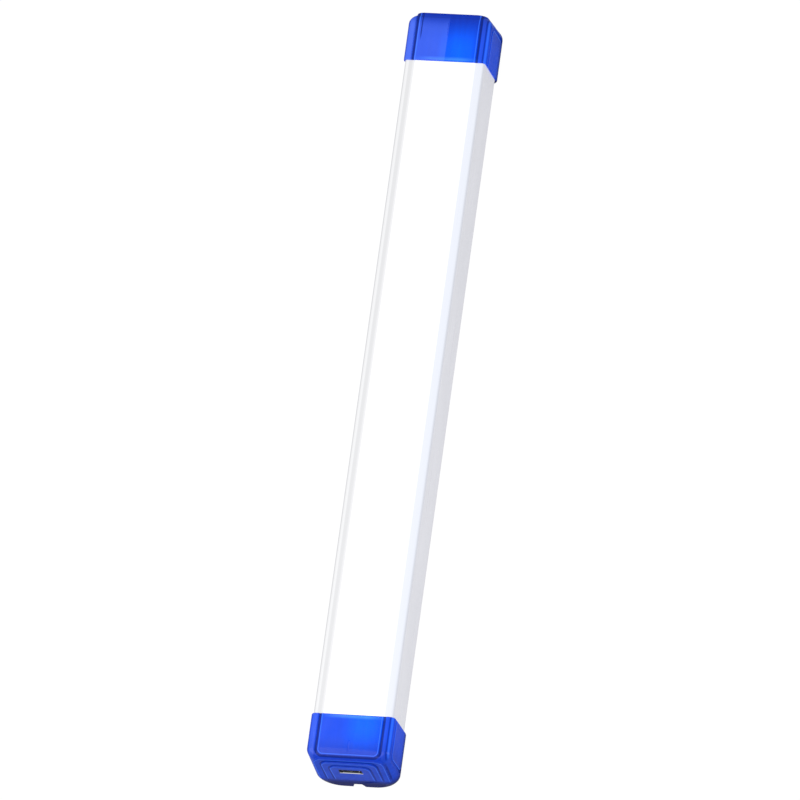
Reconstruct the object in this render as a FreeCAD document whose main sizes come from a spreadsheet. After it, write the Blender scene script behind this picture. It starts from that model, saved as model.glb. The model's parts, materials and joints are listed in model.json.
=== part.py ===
"""Rechargeable LED light tube: a milky square tube between two blue end caps.

Row frame, millimetres: the lamp lies on its back. +Z is the side that shines, +Y runs along
the tube to the button end, the charging socket is at the -Y end, and the origin is at the
middle of the back, on the surface that the lamp lies on.
"""
import FreeCAD, Part
import math
import os
import Sketcher

Vector = FreeCAD.Vector
Rotation = FreeCAD.Rotation
Placement = FreeCAD.Placement

os.makedirs("parts", exist_ok=True)
doc = FreeCAD.newDocument("LightTube")

# ---------------------------------------------------------------- driving dimensions
SIZES = {
    # whole lamp
    "lamp_length": 297.0,
    # end caps: both come from the same outer moulding
    "cap_width": 32.0,
    "cap_height": 24.0,
    "cap_length": 20.0,
    "cap_back_round": 5.5,
    "cap_front_round": 2.2,
    "cap_end_inset": 5.1,
    "cap_end_front_inset": 2.0,
    "cap_end_reach": 4.0,
    "socket_depth": 14.0,
    "socket_gap": 0.05,
    "groove_depth": 0.4,
    "groove_width": 1.2,
    "panel_width": 23.4,
    "panel_end": 4.2,
    "panel_round": 2.0,
    "mark_width": 0.6,
    "mark_depth": 0.2,
    "mark_length": 5.4,
    "side_groove_inset": 4.1,
    "groove_end": 4.6,
    # the stepped end face: three terraces that fan out from one line across the end
    "terrace_root": 7.0,
    "terrace_slope": 2.2,
    "end_lean": 3.0,
    "terrace_width": 15.6,
    "terrace_widening": 5.8,
    "terrace_top": 19.8,
    "terrace_round": 2.6,
    "inlet_height": 15.7,
    "end_room_width": 20.0,
    "end_room_bottom": 10.4,
    "end_room_height": 9.6,
    "end_room_depth": 2.8,
    # diffuser tube
    "tube_width": 30.6,
    "tube_bottom": 1.8,
    "tube_height": 21.4,
    "tube_wall": 1.3,
    "tube_back_round": 4.5,
    "tube_front_round": 1.2,
    "tube_inner_round": 3.2,
    "rail_reach": 1.5,
    "rail_thick": 0.9,
    # light board
    "board_width": 26.6,
    "board_thick": 1.2,
    "board_bottom": 10.2,
    "board_length": 262.0,
    "led_width": 2.8,
    "led_length": 3.5,
    "led_thick": 0.8,
    "led_pitch": 10.0,
    "led_row_place": 6.5,
    "resistor_width": 1.25,
    "resistor_length": 2.0,
    "resistor_thick": 0.5,
    "resistor_pitch": 25.0,
    # battery
    "cell_width": 22.0,
    "cell_length": 78.0,
    "cell_thick": 5.4,
    "cell_place": 42.0,
    "cell_round": 1.2,
    "cell_seal": 4.0,
    "foam_thick": 0.5,
    "foam_margin": 1.5,
    "tab_width": 4.0,
    "tab_thick": 0.3,
    "tab_spread": 5.5,
    "guard_width": 20.0,
    "guard_length": 6.0,
    "guard_thick": 0.8,
    # magnets that hold the lamp on steel
    "magnet_width": 15.0,
    "magnet_length": 12.0,
    "magnet_thick": 3.0,
    "magnet_place": 112.0,
    # charging board and socket
    "charger_width": 18.0,
    "charger_length": 12.6,
    "charger_thick": 1.0,
    "charger_start": 3.8,
    "charger_rail_width": 1.6,
    "charger_rail_height": 2.4,
    "charger_rail_length": 8.0,
    "usb_width": 7.6,
    "usb_height": 2.6,
    "usb_length": 5.6,
    "usb_wall": 0.3,
    "usb_start": 0.8,
    "usb_side_slope": 0.8,
    "usb_slot_gap": 0.15,
    # mode button and its switch
    "button_width": 10.0,
    "button_height": 5.0,
    "button_gap": 0.2,
    "button_top": 0.02,
    "button_flange": 1.0,
    "flange_thick": 0.6,
    "flange_gap": 0.3,
    "button_crown": 0.5,
    "switch_board_width": 24.0,
    "switch_board_height": 12.0,
    "switch_board_thick": 1.0,
    "switch_width": 6.0,
    "switch_thick": 1.2,
    "plunger_radius": 1.5,
    "plunger_gap": 0.2,
    "plunger_length": 1.0,
    # fold-out hanging hooks
    "hook_pivot_depth": 3.4,
    "hook_pivot_height": 1.5,
    "hook_eye_round": 1.3,
    "hook_pin_round": 0.75,
    "hook_pin_gap": 0.05,
    "hook_pin_length": 9.4,
    "hook_thick": 0.8,
    "hook_shank": 2.6,
    "hook_reach": 10.4,
    "hook_outer": 4.9,
    "hook_inner": 3.1,
    "hook_mouth": 3.0,
    "bay_width": 11.2,
    "bay_depth": 1.3,
    "notch_wide": 5.0,
    "notch_narrow": 3.2,
    "notch_depth": 3.1,
    "notch_length": 6.2,
    # wiring
    "lead_round": 0.5,
    "lead_bend": 1.5,
    "lead_bend_small": 1.2,
    "lead_bend_tight": 1.0,
    "lead_joint_inset": 1.5,
    "lead_arch": 2.2,
    "light_lead_place": 3.0,
    "light_pad_inset": 3.5,
    "battery_lead_place": 8.3,
    "switch_lead_place": 1.6,
    "lead_lane_gap": 0.9,
    "lead_lane_end": 133.0,
    "lead_lane_level": 6.6,
    "lead_drop": 4.4,
}
LED_COUNT = 25
RESISTOR_COUNT = 10
ROUND_STEPS = 9
# how far forward each terrace reaches over the one on top of it
TERRACE_TOPS = ("$terrace_top + 3.7", "$terrace_top + 2.4", "$terrace_top")

sheet = doc.addObject("Spreadsheet::Sheet", "Sizes")
for row, (alias, value) in enumerate(SIZES.items(), start=1):
    sheet.set(f"A{row}", alias)
    sheet.set(f"B{row}", str(value))
    sheet.setAlias(f"B{row}", alias)
doc.recompute()


def size(alias):
    """The value that a cell of the sheet holds."""
    return float(getattr(sheet, alias))


def cell(text):
    """An expression in which every $name stands for a cell of the sheet."""
    return text.replace("$", "Sizes.")


def bind(feature, **expressions):
    """Bind properties of a feature to expressions on the sheet."""
    for name, text in expressions.items():
        feature.setExpression(name, cell(text))


# ---------------------------------------------------------------- PartDesign helpers
def new_body(label):
    body = doc.addObject("PartDesign::Body", label)
    body.Label = label
    return body


def sketch_on(body, name, plane="XY_Plane", lift=None):
    """A sketch on one of the body's own origin planes, lifted along the plane's normal."""
    support = next(part for part in body.Origin.OriginFeatures if part.Role == plane)
    sketch = body.newObject("Sketcher::SketchObject", f"{body.Label}_{name}")
    sketch.AttachmentSupport = [(support, "")]
    sketch.MapMode = "FlatFace"
    if lift:
        sketch.setExpression("AttachmentOffset.Base.z", cell(lift))
    return sketch


def value(expression):
    """The number that an expression on the sheet gives now."""
    result = sheet.evalExpression(cell(expression))
    return float(getattr(result, "Value", result))


def limit(sketch, kind, ends, expression):
    """Add a dimension whose value is an expression on the sheet."""
    index = sketch.addConstraint(Sketcher.Constraint(kind, *ends, value(expression)))
    sketch.setExpression(f"Constraints[{index}]", cell(expression))


def rectangle(sketch, width, bottom, height, middle=None):
    """A rectangle whose bottom edge lies above the sketch's X axis.

    It is centred on the Y axis, or its middle lies at the given distance to the right of it.
    """
    offset = value(middle) if middle else 0.0
    half = value(width) / 2
    low = value(bottom)
    high = low + value(height)
    corners = [Vector(offset - half, low), Vector(offset + half, low),
               Vector(offset + half, high), Vector(offset - half, high)]
    first = sketch.GeometryCount
    for start, end in zip(corners, corners[1:] + corners[:1]):
        sketch.addGeometry(Part.LineSegment(start, end), False)
    for side in range(4):
        following = first + (side + 1) % 4
        sketch.addConstraint(Sketcher.Constraint("Coincident", first + side, 2, following, 1))
    for side, kind in ((1, "Vertical"), (2, "Horizontal"), (3, "Vertical")):
        sketch.addConstraint(Sketcher.Constraint(kind, first + side))
    limit(sketch, "DistanceX", (first, 1, first, 2), width)
    limit(sketch, "DistanceY", (first + 1, 1, first + 1, 2), height)
    if abs(low) < 1e-9:
        sketch.addConstraint(Sketcher.Constraint("PointOnObject", first, 1, -1))
    else:
        limit(sketch, "DistanceY", (-1, 1, first, 1), bottom)
    if middle:
        sketch.addConstraint(Sketcher.Constraint("Horizontal", first))
        limit(sketch, "DistanceX", (-1, 1, first, 2), f"{middle} + ({width}) / 2")
    else:
        sketch.addConstraint(Sketcher.Constraint("Symmetric", first, 1, first, 2, -2))


def rounded_rectangle(sketch, width, bottom, height, low_round, high_round):
    """A rectangle centred on the Y axis with one radius at its lower and one at its upper corners."""
    w = value(width) / 2
    b = value(bottom)
    t = b + value(height)
    low = value(low_round)
    high = value(high_round)
    quarter = math.pi / 2
    first = sketch.GeometryCount
    lines = [
        (Vector(low - w, b), Vector(w - low, b)),
        (Vector(w, b + low), Vector(w, t - high)),
        (Vector(w - high, t), Vector(high - w, t)),
        (Vector(-w, t - high), Vector(-w, b + low)),
    ]
    arcs = [
        (Vector(w - low, b + low), low, 3 * quarter),
        (Vector(w - high, t - high), high, 0.0),
        (Vector(high - w, t - high), high, quarter),
        (Vector(low - w, b + low), low, 2 * quarter),
    ]
    for (start, end), (centre, radius, angle) in zip(lines, arcs):
        sketch.addGeometry(Part.LineSegment(start, end), False)
        circle = Part.Circle(centre, Vector(0, 0, 1), radius)
        sketch.addGeometry(Part.ArcOfCircle(circle, angle, angle + quarter), False)
    for index in range(8):
        following = first + (index + 1) % 8
        sketch.addConstraint(Sketcher.Constraint("Tangent", first + index, 2, following, 1))
    for line, kind in ((2, "Vertical"), (4, "Horizontal"), (6, "Vertical")):
        sketch.addConstraint(Sketcher.Constraint(kind, first + line))
    sketch.addConstraint(Sketcher.Constraint("Symmetric", first, 1, first, 2, -2))
    sketch.addConstraint(Sketcher.Constraint("Equal", first + 1, first + 7))
    sketch.addConstraint(Sketcher.Constraint("Equal", first + 3, first + 5))
    limit(sketch, "Radius", (first + 1,), low_round)
    limit(sketch, "Radius", (first + 3,), high_round)
    limit(sketch, "DistanceX", (first + 6, 1, first + 2, 1), width)
    if abs(b) < 1e-9:
        sketch.addConstraint(Sketcher.Constraint("PointOnObject", first, 1, -1))
    else:
        limit(sketch, "DistanceY", (-1, 1, first, 1), bottom)
    limit(sketch, "DistanceY", (first, 1, first + 4, 1), height)


def circle_at(sketch, radius, height, place=None):
    """A circle above the sketch's X axis, on its Y axis or at a distance to the right of it."""
    middle = Vector(value(place) if place else 0.0, value(height), 0)
    index = sketch.addGeometry(Part.Circle(middle, Vector(0, 0, 1), value(radius)), False)
    limit(sketch, "Radius", (index,), radius)
    limit(sketch, "DistanceY", (-1, 1, index, 3), height)
    if place:
        limit(sketch, "DistanceX", (-1, 1, index, 3), place)
    else:
        sketch.addConstraint(Sketcher.Constraint("PointOnObject", index, 3, -2))


def trapezoid(sketch, low_width, high_width, bottom, height):
    """A trapezoid centred on the Y axis, with its lower edge above the X axis."""
    low = value(bottom)
    high = low + value(height)
    foot = value(low_width) / 2
    head = value(high_width) / 2
    corners = [Vector(-foot, low), Vector(foot, low), Vector(head, high), Vector(-head, high)]
    for start, end in zip(corners, corners[1:] + corners[:1]):
        sketch.addGeometry(Part.LineSegment(start, end), False)
    for side in range(4):
        sketch.addConstraint(Sketcher.Constraint("Coincident", side, 2, (side + 1) % 4, 1))
    for side in (0, 2):
        sketch.addConstraint(Sketcher.Constraint("Symmetric", side, 1, side, 2, -2))
    limit(sketch, "DistanceX", (0, 1, 0, 2), low_width)
    limit(sketch, "DistanceX", (2, 2, 2, 1), high_width)
    if abs(low) < 1e-9:
        sketch.addConstraint(Sketcher.Constraint("PointOnObject", 0, 1, -1))
    else:
        limit(sketch, "DistanceY", (-1, 1, 0, 1), bottom)
    limit(sketch, "DistanceY", (0, 1, 2, 2), height)


def pad(body, sketch, length, reverse=False, middle=False):
    feature = body.newObject("PartDesign::Pad", sketch.Name + "_pad")
    feature.Profile = sketch
    feature.Reversed = reverse
    feature.Midplane = middle
    bind(feature, Length=length)
    doc.recompute()
    return feature


def pocket(body, sketch, length, reverse=False, middle=False):
    """Cut a sketch out of the body, and make sure that it did take something away."""
    before = body.Shape.Volume
    feature = body.newObject("PartDesign::Pocket", sketch.Name + "_cut")
    feature.Profile = sketch
    feature.Reversed = reverse
    feature.Midplane = middle
    bind(feature, Length=length)
    doc.recompute()
    if body.Shape.Volume > before - 0.01:
        raise RuntimeError(f"{feature.Name} cuts nothing")
    return feature


def round_edges(body, name, radius, chosen):
    """Fillet the edges of the body's tip whose middle point and direction pass the test."""
    base = body.Tip
    edges = []
    for number, edge in enumerate(base.Shape.Edges, start=1):
        low, high = edge.ParameterRange
        point = edge.valueAt((low + high) / 2)
        if chosen(point, edge.tangentAt((low + high) / 2)):
            edges.append(f"Edge{number}")
    if not edges:
        raise RuntimeError(f"{name}: no edge to round")
    feature = body.newObject("PartDesign::Fillet", f"{body.Label}_{name}")
    feature.Base = (base, edges)
    bind(feature, Radius=radius)
    doc.recompute()
    return feature


def near(value, target, slack=0.02):
    return abs(value - target) < slack


# ---------------------------------------------------------------- Part helpers
def box(name, width, length, height, x, y, z, label=None):
    """A Part::Box with its sizes and its low corner bound to the sheet."""
    item = doc.addObject("Part::Box", name)
    item.Label = label or name
    bind(item, Length=width, Width=length, Height=height)
    for axis, text in zip("xyz", (x, y, z)):
        item.setExpression(f"Placement.Base.{axis}", cell(text))
    return item


def group(label, members):
    """Separate solids that share one node."""
    item = doc.addObject("Part::Compound", label)
    item.Label = label
    item.Links = members
    return item


def lead(label, points, bend):
    """An insulated wire: straight runs joined by tangent arcs of one bend radius."""
    edges = []
    start = points[0]
    for before, corner, after in zip(points, points[1:], points[2:]):
        inward = (corner - before).normalize()
        outward = (after - corner).normalize()
        turn = inward.getAngle(outward)
        setback = bend * math.tan(turn / 2)
        entry = corner - inward * setback
        leave = corner + outward * setback
        bisector = (outward - inward).normalize()
        centre = corner + bisector * (bend / math.cos(turn / 2))
        middle = centre - bisector * bend
        edges.append(Part.LineSegment(start, entry).toShape())
        edges.append(Part.Arc(entry, middle, leave).toShape())
        start = leave
    edges.append(Part.LineSegment(start, points[-1]).toShape())
    path = Part.Wire(edges)
    radius = size("lead_round")
    direction = (points[1] - points[0]).normalize()
    ring = Part.Wire([Part.makeCircle(radius, points[0], direction)])
    solid = path.makePipeShell([ring], True, True)
    wanted = math.pi * radius ** 2 * path.Length
    if abs(solid.Volume - wanted) > 0.02 * wanted:
        raise RuntimeError(f"{label}: volume {solid.Volume:.2f}, wanted {wanted:.2f}")
    item = doc.addObject("Part::Feature", label)
    item.Label = label
    item.Shape = solid
    return item


# ---------------------------------------------------------------- end caps
# Inside a cap's body, X is across the lamp, Y is the height over the back, and Z is the
# depth from the plane that the lamp's end reaches.
def fan_cut(cap, name, slope):
    """Slope the end face back towards the front, from the line where all the terraces start."""
    wedge = sketch_on(cap, name, "YZ_Plane")
    run = "$cap_height - $terrace_root"
    rise = f"({run}) * tan({slope})"
    root = Vector(value("$terrace_root"), 0)
    foot = Vector(value("$cap_height"), 0)
    tip = Vector(foot.x, value(rise))
    for start, end in ((root, foot), (foot, tip), (tip, root)):
        wedge.addGeometry(Part.LineSegment(start, end), False)
    for side in range(3):
        wedge.addConstraint(Sketcher.Constraint("Coincident", side, 2, (side + 1) % 3, 1))
    wedge.addConstraint(Sketcher.Constraint("PointOnObject", 0, 1, -1))
    wedge.addConstraint(Sketcher.Constraint("Horizontal", 0))
    wedge.addConstraint(Sketcher.Constraint("Vertical", 1))
    limit(wedge, "DistanceX", (-1, 1, 0, 1), "$terrace_root")
    limit(wedge, "DistanceX", (0, 1, 0, 2), run)
    limit(wedge, "DistanceY", (1, 1, 1, 2), rise)
    pocket(cap, wedge, "2 * $cap_width", middle=True)


def end_cap(label):
    """The outer moulding that both ends share."""
    cap = new_body(label)
    outline = sketch_on(cap, "outline", lift="$cap_end_reach")
    rounded_rectangle(outline, "$cap_width", "0", "$cap_height", "$cap_back_round",
                      "$cap_front_round")
    pad(cap, outline, "$cap_length - $cap_end_reach")

    rings = []
    for step in range(ROUND_STEPS + 1):
        angle = f"{90 * step / ROUND_STEPS} deg"
        inset = f"(1 - cos({angle}))"
        ring = sketch_on(cap, f"end_ring_{step}", lift=f"$cap_end_reach * (1 - sin({angle}))")
        rounded_rectangle(ring, f"$cap_width - 2 * $cap_end_inset * {inset}", "0",
                          f"$cap_height - $cap_end_front_inset * {inset}",
                          "$cap_back_round", "$cap_front_round")
        rings.append(ring)
    doc.recompute()
    loft = cap.newObject("PartDesign::AdditiveLoft", f"{label}_end_loft")
    loft.Profile = rings[0]
    loft.Sections = rings[1:]
    loft.Ruled = True
    doc.recompute()

    for step, top in enumerate(TERRACE_TOPS):
        fan_cut(cap, f"fan_{step + 1}", f"({3 - step} * $terrace_slope + $end_lean) * 1 deg")
        terrace = sketch_on(cap, f"terrace_{step + 1}")
        rounded_rectangle(terrace, f"$terrace_width + {2 - step} * $terrace_widening",
                          "$terrace_root", f"{top} - $terrace_root", "0.5",
                          f"$terrace_round + {2 - step} * 0.5")
        pad(cap, terrace, "$end_room_depth + 1")
    fan_cut(cap, "fan_4", "$end_lean * 1 deg")

    socket = sketch_on(cap, "socket", lift="$cap_length")
    rounded_rectangle(socket, "$tube_width + 2 * $socket_gap", "$tube_bottom - $socket_gap",
                      "$tube_height + 2 * $socket_gap", "$tube_back_round", "$tube_front_round")
    pocket(cap, socket, "$socket_depth")
    room = sketch_on(cap, "end_room", lift="$cap_length")
    rectangle(room, "$end_room_width", "$end_room_bottom", "$end_room_height")
    pocket(cap, room, "$cap_length - $end_room_depth")

    groove_floor = "-($cap_height - $groove_depth)"
    panel = sketch_on(cap, "panel_groove", "XZ_Plane", lift=groove_floor)
    rounded_rectangle(panel, "$panel_width + 2 * $groove_width", "$panel_end - $groove_width",
                      "$cap_length", "$panel_round + $groove_width", "0.5")
    rounded_rectangle(panel, "$panel_width", "$panel_end", "$cap_length - 2 * $groove_width",
                      "$panel_round", "0.5")
    pocket(cap, panel, "3 * $groove_depth")
    mark = sketch_on(cap, "middle_mark", "XZ_Plane", lift="-($cap_height - $mark_depth)")
    rectangle(mark, "$mark_width", "$panel_end + 0.2", "$mark_length")
    pocket(cap, mark, "3 * $groove_depth")
    sides = sketch_on(cap, "side_grooves", lift="$cap_length")
    rectangle(sides, "2 * $groove_depth", "$cap_height - $side_groove_inset", "$groove_width",
              "$cap_width / 2")
    mirror_across(cap, pocket(cap, sides, "$cap_length - $groove_end"))

    bay = sketch_on(cap, "hook_bay", lift="$cap_length")
    rectangle(bay, "$bay_width", "0", "$bay_depth")
    pocket(cap, bay, "$cap_length - $notch_length")
    notch = sketch_on(cap, "hook_notch", lift="$notch_length")
    trapezoid(notch, "$notch_wide", "$notch_narrow", "0", "$notch_depth")
    pocket(cap, notch, "2 * $notch_length")
    holes = sketch_on(cap, "pin_holes", "YZ_Plane")
    circle_at(holes, "$hook_pin_round", "$hook_pivot_depth", "$hook_pivot_height")
    pocket(cap, holes, "$hook_pin_length", middle=True)
    return cap


def mirror_across(body, feature):
    """Repeat a cut on the other side of the body's YZ plane."""
    mirrored = body.newObject("PartDesign::Mirrored", feature.Name + "_pair")
    mirrored.Originals = [feature]
    plane = next(part for part in body.Origin.OriginFeatures if part.Role == "YZ_Plane")
    mirrored.MirrorPlane = (plane, [""])
    body.Tip = mirrored
    before = feature.Shape.Volume
    doc.recompute()
    if body.Shape.Volume > before - 0.01:
        raise RuntimeError(f"{mirrored.Name} cuts nothing")
    return mirrored


def at_end(item, end):
    """Place a piece that was drawn in a cap's own axes: -1 is the socket end, 1 the button end."""
    turn = Rotation(Vector(1, 0, 0), 90)
    if end < 0:
        turn = Rotation(Vector(0, 0, 1), 180) * turn
    item.Placement = Placement(Vector(0, 0, 0), turn)
    item.setExpression("Placement.Base.y", cell(f"{end} * $lamp_length / 2"))


usb_cap = end_cap("usb_end_cap")
slot = sketch_on(usb_cap, "usb_slot", lift="$cap_length")
trapezoid(slot, "$usb_width - 2 * $usb_side_slope + 2 * $usb_slot_gap",
          "$usb_width + 2 * $usb_slot_gap",
          "$inlet_height - $usb_height / 2 - $usb_slot_gap", "$usb_height + 2 * $usb_slot_gap")
pocket(usb_cap, slot, "2 * $cap_length")
for side in (-1, 1):
    rail_name = "rail_left" if side < 0 else "rail_right"
    rail = sketch_on(usb_cap, rail_name, lift="$end_room_depth - 0.2")
    rectangle(rail, "$charger_rail_width",
              "$inlet_height - $usb_height / 2 - $charger_thick - $charger_rail_height",
              "$charger_rail_height", "$charger_width / 2 - $charger_rail_width / 2")
    feature = pad(usb_cap, rail, "$charger_rail_length")
    if side < 0:
        rail.setExpression("AttachmentOffset.Rotation.Axis.x", "0")
        rail.setExpression("AttachmentOffset.Rotation.Axis.y", "1")
        rail.setExpression("AttachmentOffset.Rotation.Axis.z", "0")
        rail.setExpression("AttachmentOffset.Rotation.Angle", "180 deg")
        feature.Reversed = True
        doc.recompute()
at_end(usb_cap, -1)

button_cap = end_cap("button_end_cap")
hole = sketch_on(button_cap, "button_hole", lift="$cap_length")
rounded_rectangle(hole, "$button_width + 2 * $button_gap",
                  "$inlet_height - $button_height / 2 - $button_gap",
                  "$button_height + 2 * $button_gap",
                  "$button_height / 2 + $button_gap - 0.01",
                  "$button_height / 2 + $button_gap - 0.01")
pocket(button_cap, hole, "2 * $cap_length")
at_end(button_cap, 1)


# ---------------------------------------------------------------- hooks and their pins
# Drawn in a cap's own axes, lying flat in the bay with the open end towards the tube.
def hanging_hook(label, end):
    """A stamped flat hook with a rolled eye that turns on a pin across the notch."""
    hook = new_body(label)
    reach = "$hook_pivot_depth + $hook_reach"
    foot = "$hook_pivot_height - $hook_eye_round"
    disc = sketch_on(hook, "disc", "XZ_Plane", lift=f"-({foot})")
    circle_at(disc, "$hook_outer", reach)
    pad(hook, disc, "$hook_thick", reverse=True)
    shank = sketch_on(hook, "shank", "XZ_Plane", lift=f"-({foot})")
    rectangle(shank, "$hook_shank", "$hook_pivot_depth",
              "$hook_reach - ($hook_outer + $hook_inner) / 2 + 1")
    pad(hook, shank, "$hook_thick", reverse=True)
    eye = sketch_on(hook, "eye", "YZ_Plane")
    circle_at(eye, "$hook_eye_round", "$hook_pivot_depth", "$hook_pivot_height")
    pad(hook, eye, "$hook_shank", middle=True)
    ring = sketch_on(hook, "ring", "XZ_Plane", lift="5")
    circle_at(ring, "$hook_inner", reach)
    pocket(hook, ring, "20", middle=True)
    mouth = sketch_on(hook, "mouth", "XZ_Plane", lift="5")
    rectangle(mouth, "$hook_outer", f"{reach} - 0.6", "$hook_mouth", "$hook_outer * 0.75")
    pocket(hook, mouth, "20", middle=True)
    bore = sketch_on(hook, "bore", "YZ_Plane")
    circle_at(bore, "$hook_pin_round + $hook_pin_gap", "$hook_pivot_depth", "$hook_pivot_height")
    pocket(hook, bore, "2 * $hook_shank", middle=True)
    at_end(hook, end)
    return hook


def hook_pin(label, end):
    """A plain steel pin pressed through both walls of the notch."""
    pin = new_body(label)
    section = sketch_on(pin, "section", "YZ_Plane")
    circle_at(section, "$hook_pin_round", "$hook_pivot_depth", "$hook_pivot_height")
    pad(pin, section, "$hook_pin_length", middle=True)
    at_end(pin, end)
    return pin


usb_hook = hanging_hook("usb_end_hook", -1)
button_hook = hanging_hook("button_end_hook", 1)
usb_hook_pin = hook_pin("usb_end_hook_pin", -1)
button_hook_pin = hook_pin("button_end_hook_pin", 1)

# ---------------------------------------------------------------- diffuser tube
tube = new_body("diffuser_tube")
skin = sketch_on(tube, "skin", "XZ_Plane")
rounded_rectangle(skin, "$tube_width", "$tube_bottom", "$tube_height",
                  "$tube_back_round", "$tube_front_round")
TUBE_LENGTH = "($lamp_length - 2 * ($cap_length - $socket_depth))"
pad(tube, skin, TUBE_LENGTH, middle=True)
hollow = sketch_on(tube, "hollow", "XZ_Plane")
rounded_rectangle(hollow, "$tube_width - 2 * $tube_wall", "$tube_bottom + $tube_wall",
                  "$tube_height - 2 * $tube_wall", "$tube_inner_round", "0.5")
pocket(tube, hollow, f"1.1 * {TUBE_LENGTH}", middle=True)
for name, bottom in (("lower_rail", "$board_bottom - $rail_thick"),
                     ("upper_rail", "$board_bottom + $board_thick + 0.1")):
    rail = sketch_on(tube, name, "XZ_Plane")
    rectangle(rail, "$rail_reach + 0.3", bottom, "$rail_thick",
              "$tube_width / 2 - $tube_wall - $rail_reach / 2 + 0.15")
    right = pad(tube, rail, TUBE_LENGTH, middle=True)
    pair = tube.newObject("PartDesign::Mirrored", name + "_pair")
    pair.Originals = [right]
    plane = next(part for part in tube.Origin.OriginFeatures if part.Role == "YZ_Plane")
    pair.MirrorPlane = (plane, [""])
    tube.Tip = pair
    doc.recompute()

# ---------------------------------------------------------------- light board
led_board = box("led_board", "$board_width", "$board_length", "$board_thick",
                "-$board_width / 2", "-$board_length / 2", "$board_bottom")


def along_board(name, count, pitch, width, length, thick, middle):
    """A row of equal parts along the light board, spread about the lamp's middle."""
    parts = []
    for index in range(count):
        place = f"{index - (count - 1) / 2} * {pitch} - {length} / 2"
        parts.append(box(f"{name}_{index + 1}", width, length, thick,
                         f"{middle} - {width} / 2", place, "$board_bottom + $board_thick"))
    return parts


led_rows = []
for side, place in (("left", "-$led_row_place"), ("right", "$led_row_place")):
    led_rows.append(group(f"led_row_{side}", along_board(
        f"{side}_led", LED_COUNT, "$led_pitch", "$led_width", "$led_length", "$led_thick", place)))
led_resistors = group("led_resistors", along_board(
    "resistor", RESISTOR_COUNT, "$resistor_pitch", "$resistor_width", "$resistor_length",
    "$resistor_thick", "0"))


# ---------------------------------------------------------------- battery
FLOOR = "($tube_bottom + $tube_wall)"


def pouch_cell(label, side):
    """A flat lithium cell: a soft rounded pack with a thin sealed edge where its tabs leave."""
    cell_body = new_body(label)
    outline = sketch_on(cell_body, "outline", lift=f"{FLOOR} + $foam_thick")
    rectangle(outline, "$cell_width", "0", "$cell_length - $cell_seal")
    pad(cell_body, outline, "$cell_thick")
    round_edges(cell_body, "soft_edges", "$cell_round", lambda p, t: abs(t.z) < 0.1)
    seal = sketch_on(cell_body, "seal", lift=f"{FLOOR} + $foam_thick + $cell_thick / 2 - 0.3")
    rectangle(seal, "$cell_width - 3", "$cell_length - $cell_seal - 1", "$cell_seal + 1")
    pad(cell_body, seal, "0.6")
    turn = 0 if side > 0 else 180
    cell_body.Placement = Placement(Vector(0, 0, 0), Rotation(Vector(0, 0, 1), turn))
    cell_body.setExpression("Placement.Base.y", cell(f"{side} * ($cell_place - $cell_length / 2)"))
    return cell_body


battery_cells = [pouch_cell("battery_cell_a", -1), pouch_cell("battery_cell_b", 1)]
FOAM_LENGTH = "($cell_length - 4 * $foam_margin - $cell_seal)"
for letter, side in (("a", -1), ("b", 1)):
    box(f"battery_foam_{letter}", "$cell_width - 2 * $foam_margin", FOAM_LENGTH, "$foam_thick",
        "-$cell_width / 2 + $foam_margin",
        f"{side} * ($cell_place - $cell_seal / 2) - {FOAM_LENGTH} / 2", FLOOR)

GUARD_START = "($cell_place + $cell_length / 2 + 2)"
TAB_LEVEL = f"({FLOOR} + $foam_thick + $cell_thick / 2)"
protection_board = box("protection_board", "$guard_width", "$guard_length", "$guard_thick",
                       "-$guard_width / 2", f"-{GUARD_START} - $guard_length",
                       f"{TAB_LEVEL} - $guard_thick - $tab_thick / 2")
tabs = []
for number, side in enumerate((-1, 1), start=1):
    tabs.append(box(f"tab_{number}", "$tab_width", "6", "$tab_thick",
                    f"{side} * $tab_spread - $tab_width / 2",
                    f"-{GUARD_START} - 4", f"{TAB_LEVEL} - $tab_thick / 2"))
battery_tabs = group("battery_tabs", tabs)

# ---------------------------------------------------------------- magnets
for label, side in (("usb_side_magnet", -1), ("button_side_magnet", 1)):
    box(label, "$magnet_width", "$magnet_length", "$magnet_thick", "-$magnet_width / 2",
        f"{side} * $magnet_place - $magnet_length / 2", FLOOR)

# ---------------------------------------------------------------- charging board and socket
# Depths are counted from the lamp's socket end, heights from its back.
USB_END = "(-$lamp_length / 2)"
BOARD_TOP = "($inlet_height - $usb_height / 2)"
charge_board = box("charge_board", "$charger_width", "$charger_length", "$charger_thick",
                   "-$charger_width / 2", f"{USB_END} + $charger_start",
                   f"{BOARD_TOP} - $charger_thick")


def chip(name, width, length, thick, x, depth):
    """A part soldered on the charging board."""
    return box(name, str(width), str(length), str(thick), f"{x} - {width} / 2",
               f"{USB_END} + $charger_start + {depth}", BOARD_TOP)


charge_controller = chip("charge_controller", 3.9, 4.9, 1.5, -5.5, 6.2)
charge_inductor = chip("charge_inductor", 4.0, 4.0, 2.0, 5.6, 6.6)
charge_passives = group("charge_passives", [
    chip("capacitor_1", 1.25, 2.0, 0.8, -7.4, 1.2),
    chip("capacitor_2", 1.25, 2.0, 0.8, -5.4, 1.2),
    chip("charge_resistor_1", 0.8, 1.6, 0.45, 5.0, 1.2),
    chip("charge_resistor_2", 0.8, 1.6, 0.45, 5.0, 3.8),
    chip("charge_resistor_3", 0.8, 1.6, 0.45, -1.6, 7.0),
])
charge_indicator = chip("charge_indicator", 1.6, 1.6, 0.8, 7.4, 1.2)

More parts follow.
